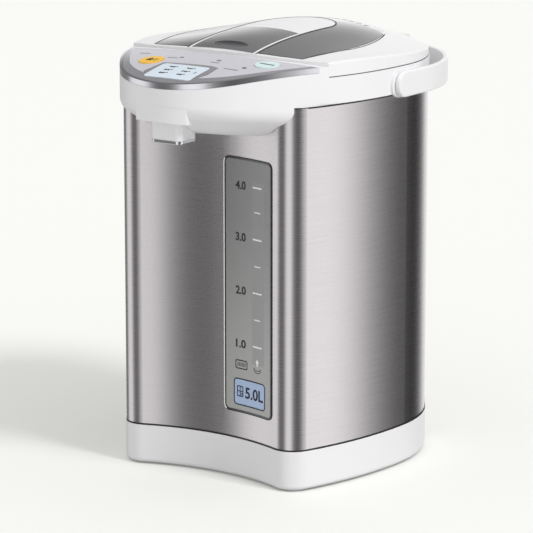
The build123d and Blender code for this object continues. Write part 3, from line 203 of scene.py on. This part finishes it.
whiteAbs = moulded("absWhiteMoulded", "#EEEEEF", 0.4, edge=1.0)
baseAbs = moulded("absWhiteBase", "#EAE9EB", 0.4, edge=1.0)
headAbs = moulded("absWhiteSatin", "#EEEDEF", 0.4, edge=0.0)  # the head is cut in two along a flush joint
steelBrushed = brushedSteel("stainlessBrushed", "#CBC7C8", 0.28)
vesselSteel = brushedSteel("stainlessSatin", "#C8C8C6", 0.35, 1.0, 60.0)
chromePlated = plated("chromePlated", "#DCDCE0", 0.10)
frameChrome = plated("chromeBlack", "#5A5A5D", 0.2)
trimChrome = plated("chromeSatin", "#D4D3D8", 0.14)
silverLacquer = lacquered("absSilverLacquer", "#D9D8DF", 0.38)
ventGloss = moulded("absMidGreyGloss", "#A6A6A8", 0.2, depth=0.004, coat=0.4, edge=0.4)
greyGloss = moulded("absGreyGloss", "#656567", 0.16, depth=0.004, coat=0.5, edge=0.4)
bandGloss = moulded("absDarkGreyGloss", "#8C8B90", 0.2, depth=0.004, coat=0.4, edge=0.3)
orangeKey = moulded("absOrangeGloss", "#FFC626", 0.35, coat=0.1)
mintKey = moulded("absMintGloss", "#DAF1F0", 0.3, coat=0.1)
blackPlastic = moulded("absBlackMatt", "#1A1A1B", 0.55)
rubberGrey = moulded("rubberGreyMatt", "#3A3A3A", 0.8)
silicone = moulded("siliconeMilky", "#DEDEDA", 0.45)
boardGreen = moulded("fibreglassBoardGreen", "#1E6A3C", 0.45)
brassBright = plated("brassTurned", "#D8B568", 0.22)
zincSteel = plated("steelZincPlated", "#C6C7C8", 0.28)
socketGrey = moulded("absLightGrey", "#CFCFCE", 0.35)
tubeGlass = clear("glassBorosilicate", "#F2F4F4", 0.02, 1.47)
gaugeGrey = moulded("absGaugeGrey", "#8E908E", 0.45)
displayBlue = moulded("displayGlassPaleBlue", "#E6F3FE", 0.15, depth=0.002, coat=0.4, edge=0.3)
lampSmoke = moulded("acrylicSmoked", "#5B5B5E", 0.2, depth=0.002, coat=0.4)
# charcoal for the finger dish: painted shade in the hollow
dishPaintedShade = moulded("absCharcoalPaintedShade", "#3E3E40", 0.25, depth=0.004, coat=0.4, edge=0.0)
inkDark = moulded("inkDarkGrey", "#29292B", 0.5, depth=0.002)
inkSoft = moulded("inkMidGrey", "#8A8A8C", 0.5, depth=0.002)
inkWhite = moulded("inkWhite", "#FBFBFA", 0.5, depth=0.002)
inkNavy = moulded("inkNavy", "#1A2034", 0.5, depth=0.002)
badgeBlue = moulded("vinylPaleBlue", "#AFC3E4", 0.35, depth=0.002)
# flat grey print; its darkening from 62 mm up to 232 mm is a painted reflection, and the cooler strip over the
# gauge is print
windowPrintAndReflection = backPrintedWithReflection("acrylicPrintPaintedReflection", 62.0, 232.0, "#AAABA8", "#838484", (37.4, 51.2, 95.3, 240.0),
                          "#8F8C90")

dress(headAbs, "upper_housing", "collar_ring")
dress(baseAbs, "base_ring")
dress(whiteAbs, "hinge_lugs", "lid_lugs", "spout_nozzle", "mouth_ring",
      "lid_cover", "release_lever", "lid_base", "steam_cap", "handle_bail", "handle_pins", "tip_over_valve")
dress(steelBrushed, "steel_shell")
dress(vesselSteel, "inner_vessel", "lid_liner", "band_heater")
dress(trimChrome, "chrome_trim")
dress(chromePlated, "nozzle_rim")
dress(frameChrome, "window_frame")
dress(silverLacquer, "panel_plate")
dress(bandGloss, "panel_band")
dress(greyGloss, "lid_inlay", "lever_insert")
dress(ventGloss, "steam_vent")
dress(orangeKey, "lock_button")
dress(mintKey, "dispense_button")
dress(blackPlastic, "bottom_plate", "display_module", "support_posts", "pump_housing", "pump_impeller",
      "latch_bolt")
dress(rubberGrey, "rubber_feet", "motor_mount")
dress(silicone, "outlet_hose", "lower_hose", "lid_gasket")
dress(boardGreen, "control_board", "power_board")
dress(brassBright, "thermostat", "socket_pins")
dress(zincSteel, "bottom_screws", "board_screws", "temperature_sensor", "pump_motor", "hinge_pin", "lever_pin",
      "latch_spring", "valve_ball")
dress(socketGrey, "power_socket")
dress(windowPrintAndReflection, "window_lens")
dress(tubeGlass, "level_tube")
dress(gaugeGrey, "scale_plate")
dress(displayBlue, "display_window")
dress(lampSmoke, "indicator_lenses")
print("materials done")

lidGap = 0.3
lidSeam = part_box("lid_cover")[0].z / mm - lidGap
# plan of the steel casing as arcs about the vessel: hollow front, front pillars, bowed sides, round back
casing = {"frontY": -284.2, "frontRadius": 176.5, "frontTurn": 68.93,
          "pillar": (69.84, -102.92), "pillarRadius": 17.8,
          "sideX": -191.8, "sideRadius": 299.3, "sideTurn": 21.45, "backRadius": 107.5}
# the control panel bows a little both ways from its crest
panel = {"rise": 12.55, "across": 2120, "crest": -84.6, "along": 752}
# the lid's dome: factor, power of the length and power of the squared width, both in units of 100 mm
lidTerms = [(25.3, 0, 0), (0.9, 1, 0), (-8.7, 2, 0), (-4.6, 3, 0), (-5.1, 4, 0), (-23.6, 0, 1), (-7.0, 1, 1),
            (5.0, 2, 1), (8.4, 0, 2), (1.4, 1, 2)]


def onPanel(x, y, lift):
    top = lidSeam + panel["rise"] - x * x / panel["across"] - (y - panel["crest"]) ** 2 / panel["along"]
    return Vector((x, y + axisY, top + lift)) * mm


def onLid(x, y, lift):
    v, q = y / 100, (x / 100) ** 2
    top = lidSeam + sum(factor * v ** i * q ** j for factor, i, j in lidTerms)
    return Vector((x, y + axisY, top + lift)) * mm


def onFront(x, z, lift):
    # the hollow front of the casing, lift standing out from the steel
    reach = math.sqrt((casing["frontRadius"] - lift) ** 2 - x * x)
    return Vector((x, casing["frontY"] + reach + axisY, z)) * mm


def arcPoints(x, y, radius, start, end, steps):
    # points along an arc, without its first one
    angles = [math.radians(start + (end - start) * step / steps) for step in range(1, steps + 1)]
    return [(x + radius * math.cos(angle), y + radius * math.sin(angle)) for angle in angles]


def roundedLoop(left, right, low, high, radius, steps=5):
    # corner points of a rounded rectangle, from the right end of its upper right corner anticlockwise
    loop = []
    for cx, cy, start in ((right - radius, high - radius, 0), (left + radius, high - radius, 90),
                          (left + radius, low + radius, 180), (right - radius, low + radius, 270)):
        for step in range(steps + 1):
            angle = math.radians(start + 90 * step / steps)
            loop.append((cx + radius * math.cos(angle), cy + radius * math.sin(angle)))
    return loop


def ovalLoop(x, y, halfX, halfY, steps):
    return [(x + halfX * math.cos(math.tau * step / steps), y + halfY * math.sin(math.tau * step / steps))
            for step in range(steps)]


def widened(loop, by):
    # each point moved outwards from the middle
    return [(x * (1 + by / math.hypot(x, y)), y * (1 + by / math.hypot(x, y))) for x, y in loop]


def filled(loop):
    return loop, [tuple(range(len(loop)))]


def boxed(left, right, low, high):
    return filled([(left, low), (right, low), (right, high), (left, high)])


def rimmed(outer, inner):
    # the band between two loops with as many points each
    count = len(outer)
    faces = [(i, (i + 1) % count, count + (i + 1) % count, count + i) for i in range(count)]
    return outer + inner, faces


def stroke(points, width):
    # a line of even width through the points
    sides = []
    for i, (x, y) in enumerate(points):
        ax, ay = points[max(i - 1, 0)]
        bx, by = points[min(i + 1, len(points) - 1)]
        length = math.hypot(bx - ax, by - ay)
        sides.append((-(by - ay) / length * width / 2, (bx - ax) / length * width / 2))
    spots = [(x + dx, y + dy) for (x, y), (dx, dy) in zip(points, sides)]
    spots += [(x - dx, y - dy) for (x, y), (dx, dy) in zip(points, sides)]
    count = len(points)
    return spots, [(i, i + 1, count + i + 1, count + i) for i in range(count - 1)]


def lettered(words, left, right, low, high, weight=0.02):
    # figures from Blender's own font, fitted to a box
    curve = bpy.data.curves.new("letters", "FONT")
    curve.body = words
    curve.offset = weight
    thing = bpy.data.objects.new("letters", curve)
    bpy.context.scene.collection.objects.link(thing)
    bpy.context.view_layer.update()
    flat = bpy.data.meshes.new_from_object(thing.evaluated_get(bpy.context.evaluated_depsgraph_get()))
    xs = [vertex.co.x for vertex in flat.vertices]
    ys = [vertex.co.y for vertex in flat.vertices]
    wide, tall = max(xs) - min(xs), max(ys) - min(ys)
    spots = [(left + (x - min(xs)) / wide * (right - left), low + (y - min(ys)) / tall * (high - low))
             for x, y in zip(xs, ys)]
    faces = [tuple(face.vertices) for face in flat.polygons]
    bpy.data.objects.remove(thing)
    bpy.data.curves.remove(curve)
    bpy.data.meshes.remove(flat)
    return spots, faces


def bridge(build, near, far):
    # a row of faces between two loops with as many corners each
    count = len(near)
    for i in range(count):
        build.faces.new([near[i], near[(i + 1) % count], far[(i + 1) % count], far[i]])


def builtPiece(name, build, material, smooth=False):
    # the finished mesh as a piece of the scene
    bmesh.ops.recalc_face_normals(build, faces=build.faces[:])
    mesh = bpy.data.meshes.new(name)
    build.to_mesh(mesh)
    build.free()
    if smooth:
        mesh.shade_smooth()
    mesh.materials.append(material)
    piece = bpy.data.objects.new(name, mesh)
    bpy.context.scene.collection.objects.link(piece)
    return piece


def laidOn(name, drawings, surface, layer, material, body, step=5.0):
    # flat drawings laid on a curved surface as one thin closed piece
    # layer is the height of its top and its bottom above the surface
    top, bottom = layer
    build = bmesh.new()
    for spots, faces in drawings:
        corners = [build.verts.new((a, b, 0)) for a, b in spots]
        for face in faces:
            build.faces.new([corners[i] for i in face])
    bmesh.ops.remove_doubles(build, verts=build.verts[:], dist=0.001)
    spread = [[vertex.co[axis] for vertex in build.verts] for axis in (0, 1)]
    for axis, along in ((0, Vector((1, 0, 0))), (1, Vector((0, 1, 0)))):
        cut = math.ceil(min(spread[axis]) / step) * step
        while cut < max(spread[axis]):
            bmesh.ops.bisect_plane(build, geom=build.verts[:] + build.edges[:] + build.faces[:],
                                   plane_co=along * cut, plane_no=along)
            cut += step
    raised = bmesh.ops.extrude_face_region(build, geom=build.faces[:])
    upper = {item for item in raised["geom"] if isinstance(item, bmesh.types.BMVert)}
    for vertex in build.verts:
        vertex.co = surface(vertex.co.x, vertex.co.y, top if vertex in upper else bottom)
    piece = builtPiece(name, build, material)
    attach(piece, body)


def makeGauge():
    settings = {"majors": {"4.0": 235.8, "3.0": 195.0, "2.0": 152.6, "1.0": 109.8},
                "minors": [216.4, 173.8, 131.3],
                "majorTick": (38.3, 48.5, 1.3), "minorTick": (40.0, 47.1, 1.0),
                "number": (20.1, 30.6, 6.7, 0.03),
                "arrow": [(41.3, 97.0), (45.5, 97.0), (43.4, 100.6)], "shaft": (42.5, 44.3, 94.6, 97.2),
                "arc": {"x": 43.4, "y": 95.4, "halfX": 4.9, "halfY": 4.6, "start": -1.0, "step": 0.25,
                        "points": 9, "drop": 1.7, "line": 0.5},
                "frame": ((19.6, 32.2, 89.3, 96.6, 1.4), (20.4, 31.4, 90.1, 95.8, 0.9)),
                "waves": {"count": 6, "pitch": 1.5, "foot": (22.0, 91.4), "head": (22.5, 94.6), "line": 0.55},
                "layer": (0.32, 0.12)}
    white = []
    for kind, heights in (("majorTick", settings["majors"].values()), ("minorTick", settings["minors"])):
        left, right, thick = settings[kind]
        white += [boxed(left, right, height - thick / 2, height + thick / 2) for height in heights]
    white += [filled(settings["arrow"]), boxed(*settings["shaft"])]  # fill-up arrow
    left, right, tall, weight = settings["number"]
    dark = [lettered(label, left, right, height - tall / 2, height + tall / 2, weight)
            for label, height in settings["majors"].items()]
    arc = settings["arc"]
    angles = [arc["step"] * k + arc["start"] for k in range(arc["points"])]
    curve = [(arc["x"] + arc["halfX"] * math.sin(t), arc["y"] - arc["halfY"] * math.cos(t)) for t in angles]
    dark.append(stroke(curve, arc["line"]))
    dark.append(stroke([(x, y - arc["drop"]) for x, y in curve], arc["line"]))
    dark.append(rimmed(*[roundedLoop(*edge) for edge in settings["frame"]]))
    waves = settings["waves"]
    for k in range(waves["count"]):  # water-level waves inside the small frame
        dark.append(stroke([(x + waves["pitch"] * k, y) for x, y in (waves["foot"], waves["head"])],
                           waves["line"]))
    laidOn("gaugeTicks", white, onFront, settings["layer"], inkWhite, "body")
    laidOn("gaugeFigures", dark, onFront, settings["layer"], inkDark, "body")


def makeBadge():
    settings = {"box": (17.9, 52.4, 60.0, 81.8), "corner": 3.2, "line": 0.9,
                "words": ("5.0L", 29.9, 50.0, 66.4, 75.7, 0.028),
                "icon": ((21.2, 27.9, 66.9, 75.8, 1.0), (22.1, 27.0, 67.8, 74.9, 0.5)),
                "strokes": [([(21.6, 71.4), (27.5, 71.4)], 0.8), ([(24.5, 67.4), (24.5, 75.3)], 0.8),
                            ([(25.2, 69.9), (26.7, 69.9), (26.7, 68.6), (25.2, 68.6)], 0.6)],
                "fieldLayer": (0.30, 0.10), "marksLayer": (0.36, 0.12)}
    left, right, low, high = settings["box"]
    corner, line = settings["corner"], settings["line"]
    outer = roundedLoop(left, right, low, high, corner)
    inner = roundedLoop(left + line, right - line, low + line, high - line, corner - line)
    laidOn("badgeField", [filled(inner)], onFront, settings["fieldLayer"], badgeBlue, "body")
    marks = [rimmed(outer, inner), lettered(*settings["words"]),
             rimmed(*[roundedLoop(*e) for e in settings["icon"]])]
    marks += [stroke(points, width) for points, width in settings["strokes"]]
    laidOn("badgeMarks", marks, onFront, settings["marksLayer"], inkNavy, "body")


def makeWindowLine():
    # dark joint between the window and the steel on its upper, right and lower sides, drawn there as painted
    # shade the left side gets a white stroke instead, a painted highlight
    settings = {"box": (8.6, 60.3, 54.45, 257.45), "corner": 5.0, "line": 0.6, "highlightLine": 0.96,
                "upperTurn": 9, "lowerTurn": 15,  # points halfway round the two left corners
                "jointLayer": (0.56, -0.2), "highlightLayer": (0.62, -0.2)}
    loop = roundedLoop(*settings["box"], settings["corner"])
    upper, lower = settings["upperTurn"], settings["lowerTurn"]
    # dark stroke on three sides: a joint line darkened as painted shade
    dark = stroke(loop[lower:] + loop[:upper + 1], settings["line"])
    # white stroke down the left side: a painted highlight
    light = stroke(loop[upper:lower + 1], settings["highlightLine"])
    laidOn("windowJointShade", [dark], onFront, settings["jointLayer"], inkDark, "body")
    laidOn("windowPaintedHighlight", [light], onFront, settings["highlightLayer"], inkWhite, "body")


def casingLoop(grow, steps=14):
    # the plan of the casing, grown outwards, from the middle of the front all the way round
    pillarX, pillarY = casing["pillar"]
    frontTurn, sideTurn = casing["frontTurn"], casing["sideTurn"]
    frontRadius = casing["frontRadius"] - grow
    half = [(0, casing["frontY"] + frontRadius)]
    half += arcPoints(0, casing["frontY"], frontRadius, 90, frontTurn, steps)
    half += arcPoints(pillarX, pillarY, casing["pillarRadius"] + grow, frontTurn - 180, -sideTurn, steps)
    half += arcPoints(casing["sideX"], 0, casing["sideRadius"] + grow, -sideTurn, 0, steps)
    half += arcPoints(0, 0, casing["backRadius"] + grow, 0, 90, 2 * steps)
    return half + [(-x, y) for x, y in half[-2:0:-1]]


def band(name, rings, material, body):
    # a closed band through rings of as many points each
    build = bmesh.new()
    loops = [[build.verts.new(Vector((x, y + axisY, z)) * mm) for x, y in loop] for loop, z in rings]
    for near, far in zip(loops, loops[1:] + loops[:1]):
        bridge(build, near, far)
    piece = builtPiece(name, build, material)
    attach(piece, body)


def makeSeamLines():
    # dark bands laid in the gaps where the steel meets the collar and the base, as painted shade: foot, head
    # and how far they stand out
    settings = {"seams": {"collarGapShade": (301.0, 302.15, 0.3), "baseGapShade": (32.65, 33.8, 0.45)}, "inset": -0.2}
    for name, (low, high, proud) in settings["seams"].items():
        outer, inner = casingLoop(proud), casingLoop(settings["inset"])
        band(name, [(outer, low), (outer, high), (inner, high), (inner, low)], blackPlastic, "body")


def makeLidLines():
    # dark joints round the release lever and along the inlay, and a dark band under the lid's skirt that is
    # painted shade in the seam
    settings = {"half": 32.25, "front": -99.0, "back": 3.0, "steps": 18, "line": 1.0,
                "leverLayer": (0.25, -0.5),
                "wing": [(33.5, -97.3), (52.0, -94.9), (70.2, -91.2), (73.0, -75.0), (75.4, -63.8),
                         (78.0, -48.0), (79.6, -35.2), (79.0, -20.0), (77.1, -7.9), (74.4, 5.0),
                         (70.7, 17.3), (66.6, 28.0), (61.9, 37.7)],
                "wingLine": 0.8, "wingLayer": (0.15, -0.5),
                "footSlice": 0.05, "shadeLow": -0.55, "shadeHigh": 0.3, "proud": 0.12, "inset": -0.5}
    half, front = settings["half"], settings["front"]
    loop = [(half, front), (half, settings["back"])]
    loop += arcPoints(0, settings["back"], half, 0, 180, settings["steps"]) + [(-half, front)]
    laidOn("leverJoint", [stroke(loop, settings["line"])], onLid, settings["leverLayer"], inkDark, "lid")
    wings = [stroke([(x * side, y) for x, y in settings["wing"]], settings["wingLine"]) for side in (-1, 1)]
    laidOn("inlayJoint", wings, onLid, settings["wingLayer"], inkDark, "lid")
    # dark band under the lid's skirt: painted shade in the seam
    corners = [vertex.co for vertex in nodes["lid_cover"].data.vertices]
    foot = min(co.z for co in corners)
    spots = [(co.x / mm, co.y / mm - axisY) for co in corners if co.z < foot + settings["footSlice"] * mm]
    spots = [spots[i] for i in convex_hull_2d(spots)]
    outer, inner = widened(spots, settings["proud"]), widened(spots, settings["inset"])
    low, high = foot / mm + settings["shadeLow"], foot / mm + settings["shadeHigh"]
    band("lidSeamShade", [(outer, low), (outer, high), (inner, high), (inner, low)], rubberGrey, "lid")


def makeFingerDish():
    # the dished finger rest on the insert, glossy, its near side rising gently to the rim; its charcoal colour
    # is painted shade in the hollow
    settings = {"reach": -86.0, "halfWidth": 15.2, "halfLength": 5.8, "depth": 1.1, "rings": 7, "around": 36,
                "rim": 0.1, "under": -1.25, "middle": 0.04}
    build = bmesh.new()

    def ringAt(part, lift):
        wide, long = settings["halfWidth"] * part, settings["halfLength"] * part
        return [build.verts.new(onLid(x, y, lift))
                for x, y in ovalLoop(0, settings["reach"], wide, long, settings["around"])]

    loops = []
    for ring in range(settings["rings"] + 1):
        part = 1 - ring / settings["rings"]
        sink = settings["depth"] * (1 - part ** 2) ** 0.5
        loops.append(ringAt(max(part, settings["middle"]), settings["rim"] - sink))
    for near, far in zip(loops, loops[1:]):
        bridge(build, near, far)
    build.faces.new(loops[-1])
    low = ringAt(1, settings["under"])
    build.faces.new(low)
    bridge(build, loops[0], low)
    piece = builtPiece("fingerDish", build, dishPaintedShade, smooth=True)
    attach(piece, "lever")


def makePanelMarks():
    settings = {"surround": [(-27.5, -163.0), (-24.6, -141.2), (-22.0, -140.2), (18.0, -137.6), (26.6, -140.2),
                             (28.3, -157.0), (25.0, -165.0), (12.0, -170.0), (-12.0, -170.0), (-23.0, -166.5)],
                "rows": [-149.6, -156.6, -163.4], "columns": [-8.6, 7.6], "wordWidth": 7.4, "wordHeight": 2.5,
                "words": [("98°", "90°"), ("85°", "70°"), ("60°", "40°")],
                "arrow": [(16.0, -158.5), (17.6, -156.8), (16.0, -155.1)], "arrowLine": 0.5,
                "legends": [(-64.0, -53.0, -118.5), (-31.0, -21.0, -126.8), (11.0, 20.0, -128.5),
                            (31.0, 43.6, -139.0)],
                "dash": (1.2, 2.2), "dashHalf": 0.75, "dashGap": 0.5, "dashRoom": 1.0,
                "surroundLayer": (0.14, -0.3), "figuresLayer": (0.52, 0.2), "legendsLayer": (0.10, -0.2)}
    laidOn("displaySurround", [filled(settings["surround"])], onPanel, settings["surroundLayer"], bandGloss,
           "body")
    words = []
    wide, tall = settings["wordWidth"] / 2, settings["wordHeight"] / 2
    for y, pair in zip(settings["rows"], settings["words"]):
        for x, text in zip(settings["columns"], pair):
            words.append(lettered(text, x - wide, x + wide, y - tall, y + tall))
    words.append(stroke(settings["arrow"], settings["arrowLine"]))
    laidOn("displayFigures", words, onPanel, settings["figuresLayer"], inkDark, "body")
    legends = []
    half = settings["dashHalf"]
    for left, right, y in settings["legends"]:  # short dashed legend lines beside the lamps
        x = left
        while x < right - settings["dashRoom"]:
            width = random.uniform(*settings["dash"])
            legends.append(boxed(x, x + width, y - half, y + half))
            x += width + settings["dashGap"]
    laidOn("panelLegends", legends, onPanel, settings["legendsLayer"], inkSoft, "body")


def makeKeyMarks():
    # a padlock with two short lines on one key, a bar on the other; places are measured from each key's middle
    settings = {"lock": (-39.0, -137.0), "case": (-3.8, 0.8, -2.6, 1.2),
                "shackle": {"x": -1.5, "y": 1.4, "halfX": 1.5, "halfY": 1.9, "steps": 8, "line": 0.8},
                "lines": [(2.4, 6.0, 1.2), (2.4, 5.2, -1.6)], "line": 1.0,
                "dispense": (54.5, -116.0), "barHalf": 6.4, "barLine": 1.5, "layer": (0.74, 0.4)}
    x, y = settings["lock"]
    left, right, low, high = settings["case"]
    bow = settings["shackle"]
    angles = [math.pi * k / bow["steps"] for k in range(bow["steps"] + 1)]
    shackle = [(x + bow["x"] + bow["halfX"] * math.cos(t), y + bow["y"] + bow["halfY"] * math.sin(t))
               for t in angles]
    padlock = [boxed(x + left, x + right, y + low, y + high), stroke(shackle, bow["line"])]
    padlock += [stroke([(x + start, y + rise), (x + end, y + rise)], settings["line"])
                for start, end, rise in settings["lines"]]
    laidOn("lockKeyMark", padlock, onPanel, settings["layer"], inkDark, "lock_key")
    x, y = settings["dispense"]
    half = settings["barHalf"]
    bar = [stroke([(x - half, y), (x + half, y)], settings["barLine"])]
    laidOn("dispenseKeyMark", bar, onPanel, settings["layer"], inkDark, "dispense_key")


makeGauge()
makeBadge()
makeWindowLine()
makeSeamLines()
makeLidLines()
makeFingerDish()
makePanelMarks()
makeKeyMarks()
print("printed marks done")


def makeFloor():
    settings = {"half": 6.0, "colour": "#E0E0DE", "paper": "#F8F9F2", "share": 0.19}
    mesh = bpy.data.meshes.new("floor")
    half = settings["half"]
    mesh.from_pydata([(-half, -half, 0), (half, -half, 0), (half, half, 0), (-half, half, 0)], [],
                     [(0, 1, 2, 3)])
    floor = bpy.data.objects.new("floor", mesh)
    bpy.context.scene.collection.objects.link(floor)
    material, tree, shader = newMaterial("paperWhiteMatt", {"Roughness": 0.9, "Specular IOR Level": 0.1,
                                                            "Base Color": linear(settings["colour"])})
    paths = addNode(tree, "ShaderNodeLightPath")
    through = addNode(tree, "ShaderNodeBsdfTransparent")
    glow = addNode(tree, "ShaderNodeEmission", inputs={"Color": linear(settings["paper"])},
                   links={"Strength": addNode(tree, "ShaderNodeMath", {"operation": "MULTIPLY"},
                                              inputs={1: settings["share"]},
                                              links={0: paths.outputs["Is Camera Ray"]}).outputs["Value"]})
    paper = addNode(tree, "ShaderNodeAddShader", links={0: shader.outputs[0], 1: glow.outputs[0]})
    both = addNode(tree, "ShaderNodeMixShader", links={0: paths.outputs["Is Glossy Ray"], 1: paper.outputs[0],
                                                       2: through.outputs[0]})
    tree.links.new(both.outputs[0], tree.nodes["Material Output"].inputs["Surface"])
    floor.data.materials.append(material)


makeFloor()


def levelCurve(tree, share, stops, most):
    # brightness round the studio, from pairs of degrees and level
    curve = addNode(tree, "ShaderNodeFloatCurve", links={"Value": share})
    line = curve.mapping.curves[0]
    line.points[0].location = (0, stops[0][1] / most)
    line.points[1].location = (1, stops[-1][1] / most)
    for degrees, level in stops[1:-1]:
        line.points.new((degrees + 180) / 360, level / most)
    curve.mapping.update()
    return addNode(tree, "ShaderNodeMath", {"operation": "MULTIPLY"}, inputs={1: most},
                   links={0: curve.outputs["Value"]})


def makeWorld():
    # a white studio with dark flags: what the steel mirrors changes with the side it faces
    settings = {"mirror": [(-180, 0.5), (-157, 1.1), (-137, 0.5), (-120, 0.2), (-100, 0.55), (-80, 1.2),
                           (-62, 0.7), (-46, 0.25), (-28, 0.15), (-6, 0.5), (12, 1.25), (20, 1.4), (28, 1.25),
                           (42, 0.5), (56, 0.15), (72, 0.05), (90, 0.4), (114, 1.1), (132, 0.6),
                           (150, 0.3), (165, 0.25), (180, 0.5)],
                "soft": [(-180, 0.5), (-130, 0.6), (-90, 0.88), (-40, 1.1), (0, 0.86), (45, 0.5), (90, 0.45),
                         (180, 0.5)],
                "most": 1.6, "softStrength": 0.78, "zenith": 0.93, "backdrop": "#F8F9F4",
                "mirrorFoot": 0.02, "mirrorHead": 0.3, "upperMirror": 0.4,
                "backBox": {"azimuth": 125, "inner": 20, "outer": 50, "foot": 0.0, "full": 0.08, "fade": 0.2,
                            "top": 0.39, "level": 0.5}}
    world = bpy.data.worlds.new("studio")
    bpy.context.scene.world = world
    world.use_nodes = True
    tree = world.node_tree
    tree.nodes.clear()
    out = addNode(tree, "ShaderNodeOutputWorld")
    place = addNode(tree, "ShaderNodeTexCoord")
    split = addNode(tree, "ShaderNodeSeparateXYZ", links={"Vector": place.outputs["Generated"]})
    turn = addNode(tree, "ShaderNodeMath", {"operation": "ARCTAN2"},
                   links={0: split.outputs["Y"], 1: split.outputs["X"]})
    share = addNode(tree, "ShaderNodeMapRange", inputs={"From Min": -math.pi, "From Max": math.pi},
                    links={"Value": turn.outputs["Value"]})
    around = levelCurve(tree, share.outputs["Result"], settings["mirror"], settings["most"])
    lift = addNode(tree, "ShaderNodeMapRange", {"interpolation_type": "SMOOTHSTEP"},
                   inputs={"From Min": settings["mirrorFoot"], "From Max": settings["mirrorHead"],
                           "To Min": 1.0, "To Max": settings["upperMirror"]},
                   links={"Value": split.outputs["Z"]})
    mirrored = addNode(tree, "ShaderNodeMath", {"operation": "MULTIPLY"},
                       links={0: around.outputs["Value"], 1: lift.outputs["Result"]})
    box = settings["backBox"]
    aside = addNode(tree, "ShaderNodeMath", {"operation": "ABSOLUTE"},
                    links={0: addNode(tree, "ShaderNodeMath", {"operation": "SUBTRACT"},
                                      inputs={1: math.radians(box["azimuth"])},
                                      links={0: turn.outputs["Value"]}).outputs["Value"]})
    across = addNode(tree, "ShaderNodeMapRange", {"interpolation_type": "SMOOTHSTEP"},
                     inputs={"From Min": math.radians(box["outer"]), "From Max": math.radians(box["inner"])},
                     links={"Value": aside.outputs["Value"]})
    under = addNode(tree, "ShaderNodeMapRange", {"interpolation_type": "SMOOTHSTEP"},
                    inputs={"From Min": box["foot"], "From Max": box["full"]},
                    links={"Value": split.outputs["Z"]})
    over = addNode(tree, "ShaderNodeMapRange", {"interpolation_type": "SMOOTHSTEP"},
                   inputs={"From Min": box["top"], "From Max": box["fade"], "To Max": box["level"]},
                   links={"Value": split.outputs["Z"]})
    height = addNode(tree, "ShaderNodeMath", {"operation": "MULTIPLY"},
                     links={0: under.outputs["Result"], 1: over.outputs["Result"]})
    boxLight = addNode(tree, "ShaderNodeMath", {"operation": "MULTIPLY_ADD"},
                       links={0: height.outputs["Value"], 1: across.outputs["Result"],
                              2: mirrored.outputs["Value"]})
    level = levelCurve(tree, share.outputs["Result"], settings["soft"], settings["most"])
    high = addNode(tree, "ShaderNodeMath", {"operation": "POWER", "use_clamp": True}, inputs={1: 2.0},
                   links={0: addNode(tree, "ShaderNodeMath", {"operation": "MAXIMUM"}, inputs={1: 0.0},
                                     links={0: split.outputs["Z"]}).outputs["Value"]})
    sky = addNode(tree, "ShaderNodeMix", {"data_type": "FLOAT"}, inputs={"B": settings["zenith"]},
                  links={"Factor": high.outputs["Value"],
                         "A": addNode(tree, "ShaderNodeMath", {"operation": "MULTIPLY"},
                                      inputs={1: settings["softStrength"]},
                                      links={0: level.outputs["Value"]}).outputs["Value"]})
    paths = addNode(tree, "ShaderNodeLightPath")
    soft = addNode(tree, "ShaderNodeBackground", inputs={"Strength": 1.0},
                   links={"Color": sky.outputs["Result"]})
    mirror = addNode(tree, "ShaderNodeBackground", inputs={"Strength": 1.0},
                     links={"Color": boxLight.outputs["Value"]})
    white = addNode(tree, "ShaderNodeBackground",
                    inputs={"Color": linear(settings["backdrop"]), "Strength": 1.0})
    glossy = addNode(tree, "ShaderNodeMixShader", links={0: paths.outputs["Is Glossy Ray"], 1: soft.outputs[0],
                                                         2: mirror.outputs[0]})
    seen = addNode(tree, "ShaderNodeMixShader", links={0: paths.outputs["Is Camera Ray"], 1: glossy.outputs[0],
                                                       2: white.outputs[0]})
    tree.links.new(seen.outputs[0], out.inputs["Surface"])


makeWorld()


def sunLamp(name, azimuth, elevation, spread, strength):
    # a distant softbox: even over the whole floor, with a soft shadow
    lamp = bpy.data.lights.new(name, "SUN")
    lamp.angle = math.radians(spread)
    lamp.energy = strength
    thing = bpy.data.objects.new(name, lamp)
    bpy.context.scene.collection.objects.link(thing)
    flat = math.cos(math.radians(elevation))
    towards = Vector((flat * math.cos(math.radians(azimuth)), flat * math.sin(math.radians(azimuth)),
                      math.sin(math.radians(elevation))))
    thing.rotation_mode = "QUATERNION"
    thing.rotation_quaternion = towards.to_track_quat("Z", "Y")
    thing.location = towards * 3


sunLamp("keyLamp", -3, 45, 15, 1.5)
print("light done")


def makeCamera():
    settings = {"place": (1390.25, -2047.14, 698.87), "turn": 34.683, "tilt": 12.548, "lens": 211.34,
                "sensor": 36, "clip": (0.1, 50)}
    data = bpy.data.cameras.new("camera")
    data.sensor_width = settings["sensor"]
    data.lens = settings["lens"]
    data.clip_start, data.clip_end = settings["clip"]
    camera = bpy.data.objects.new("camera", data)
    bpy.context.scene.collection.objects.link(camera)
    x, y, z = settings["place"]
    camera.location = (x * mm, (y + axisY) * mm, z * mm)
    camera.rotation_euler = (math.radians(90 - settings["tilt"]), 0, math.radians(settings["turn"]))
    bpy.context.scene.camera = camera


makeCamera()
bpy.context.scene.view_settings.view_transform = "Standard"

print("all pieces done")
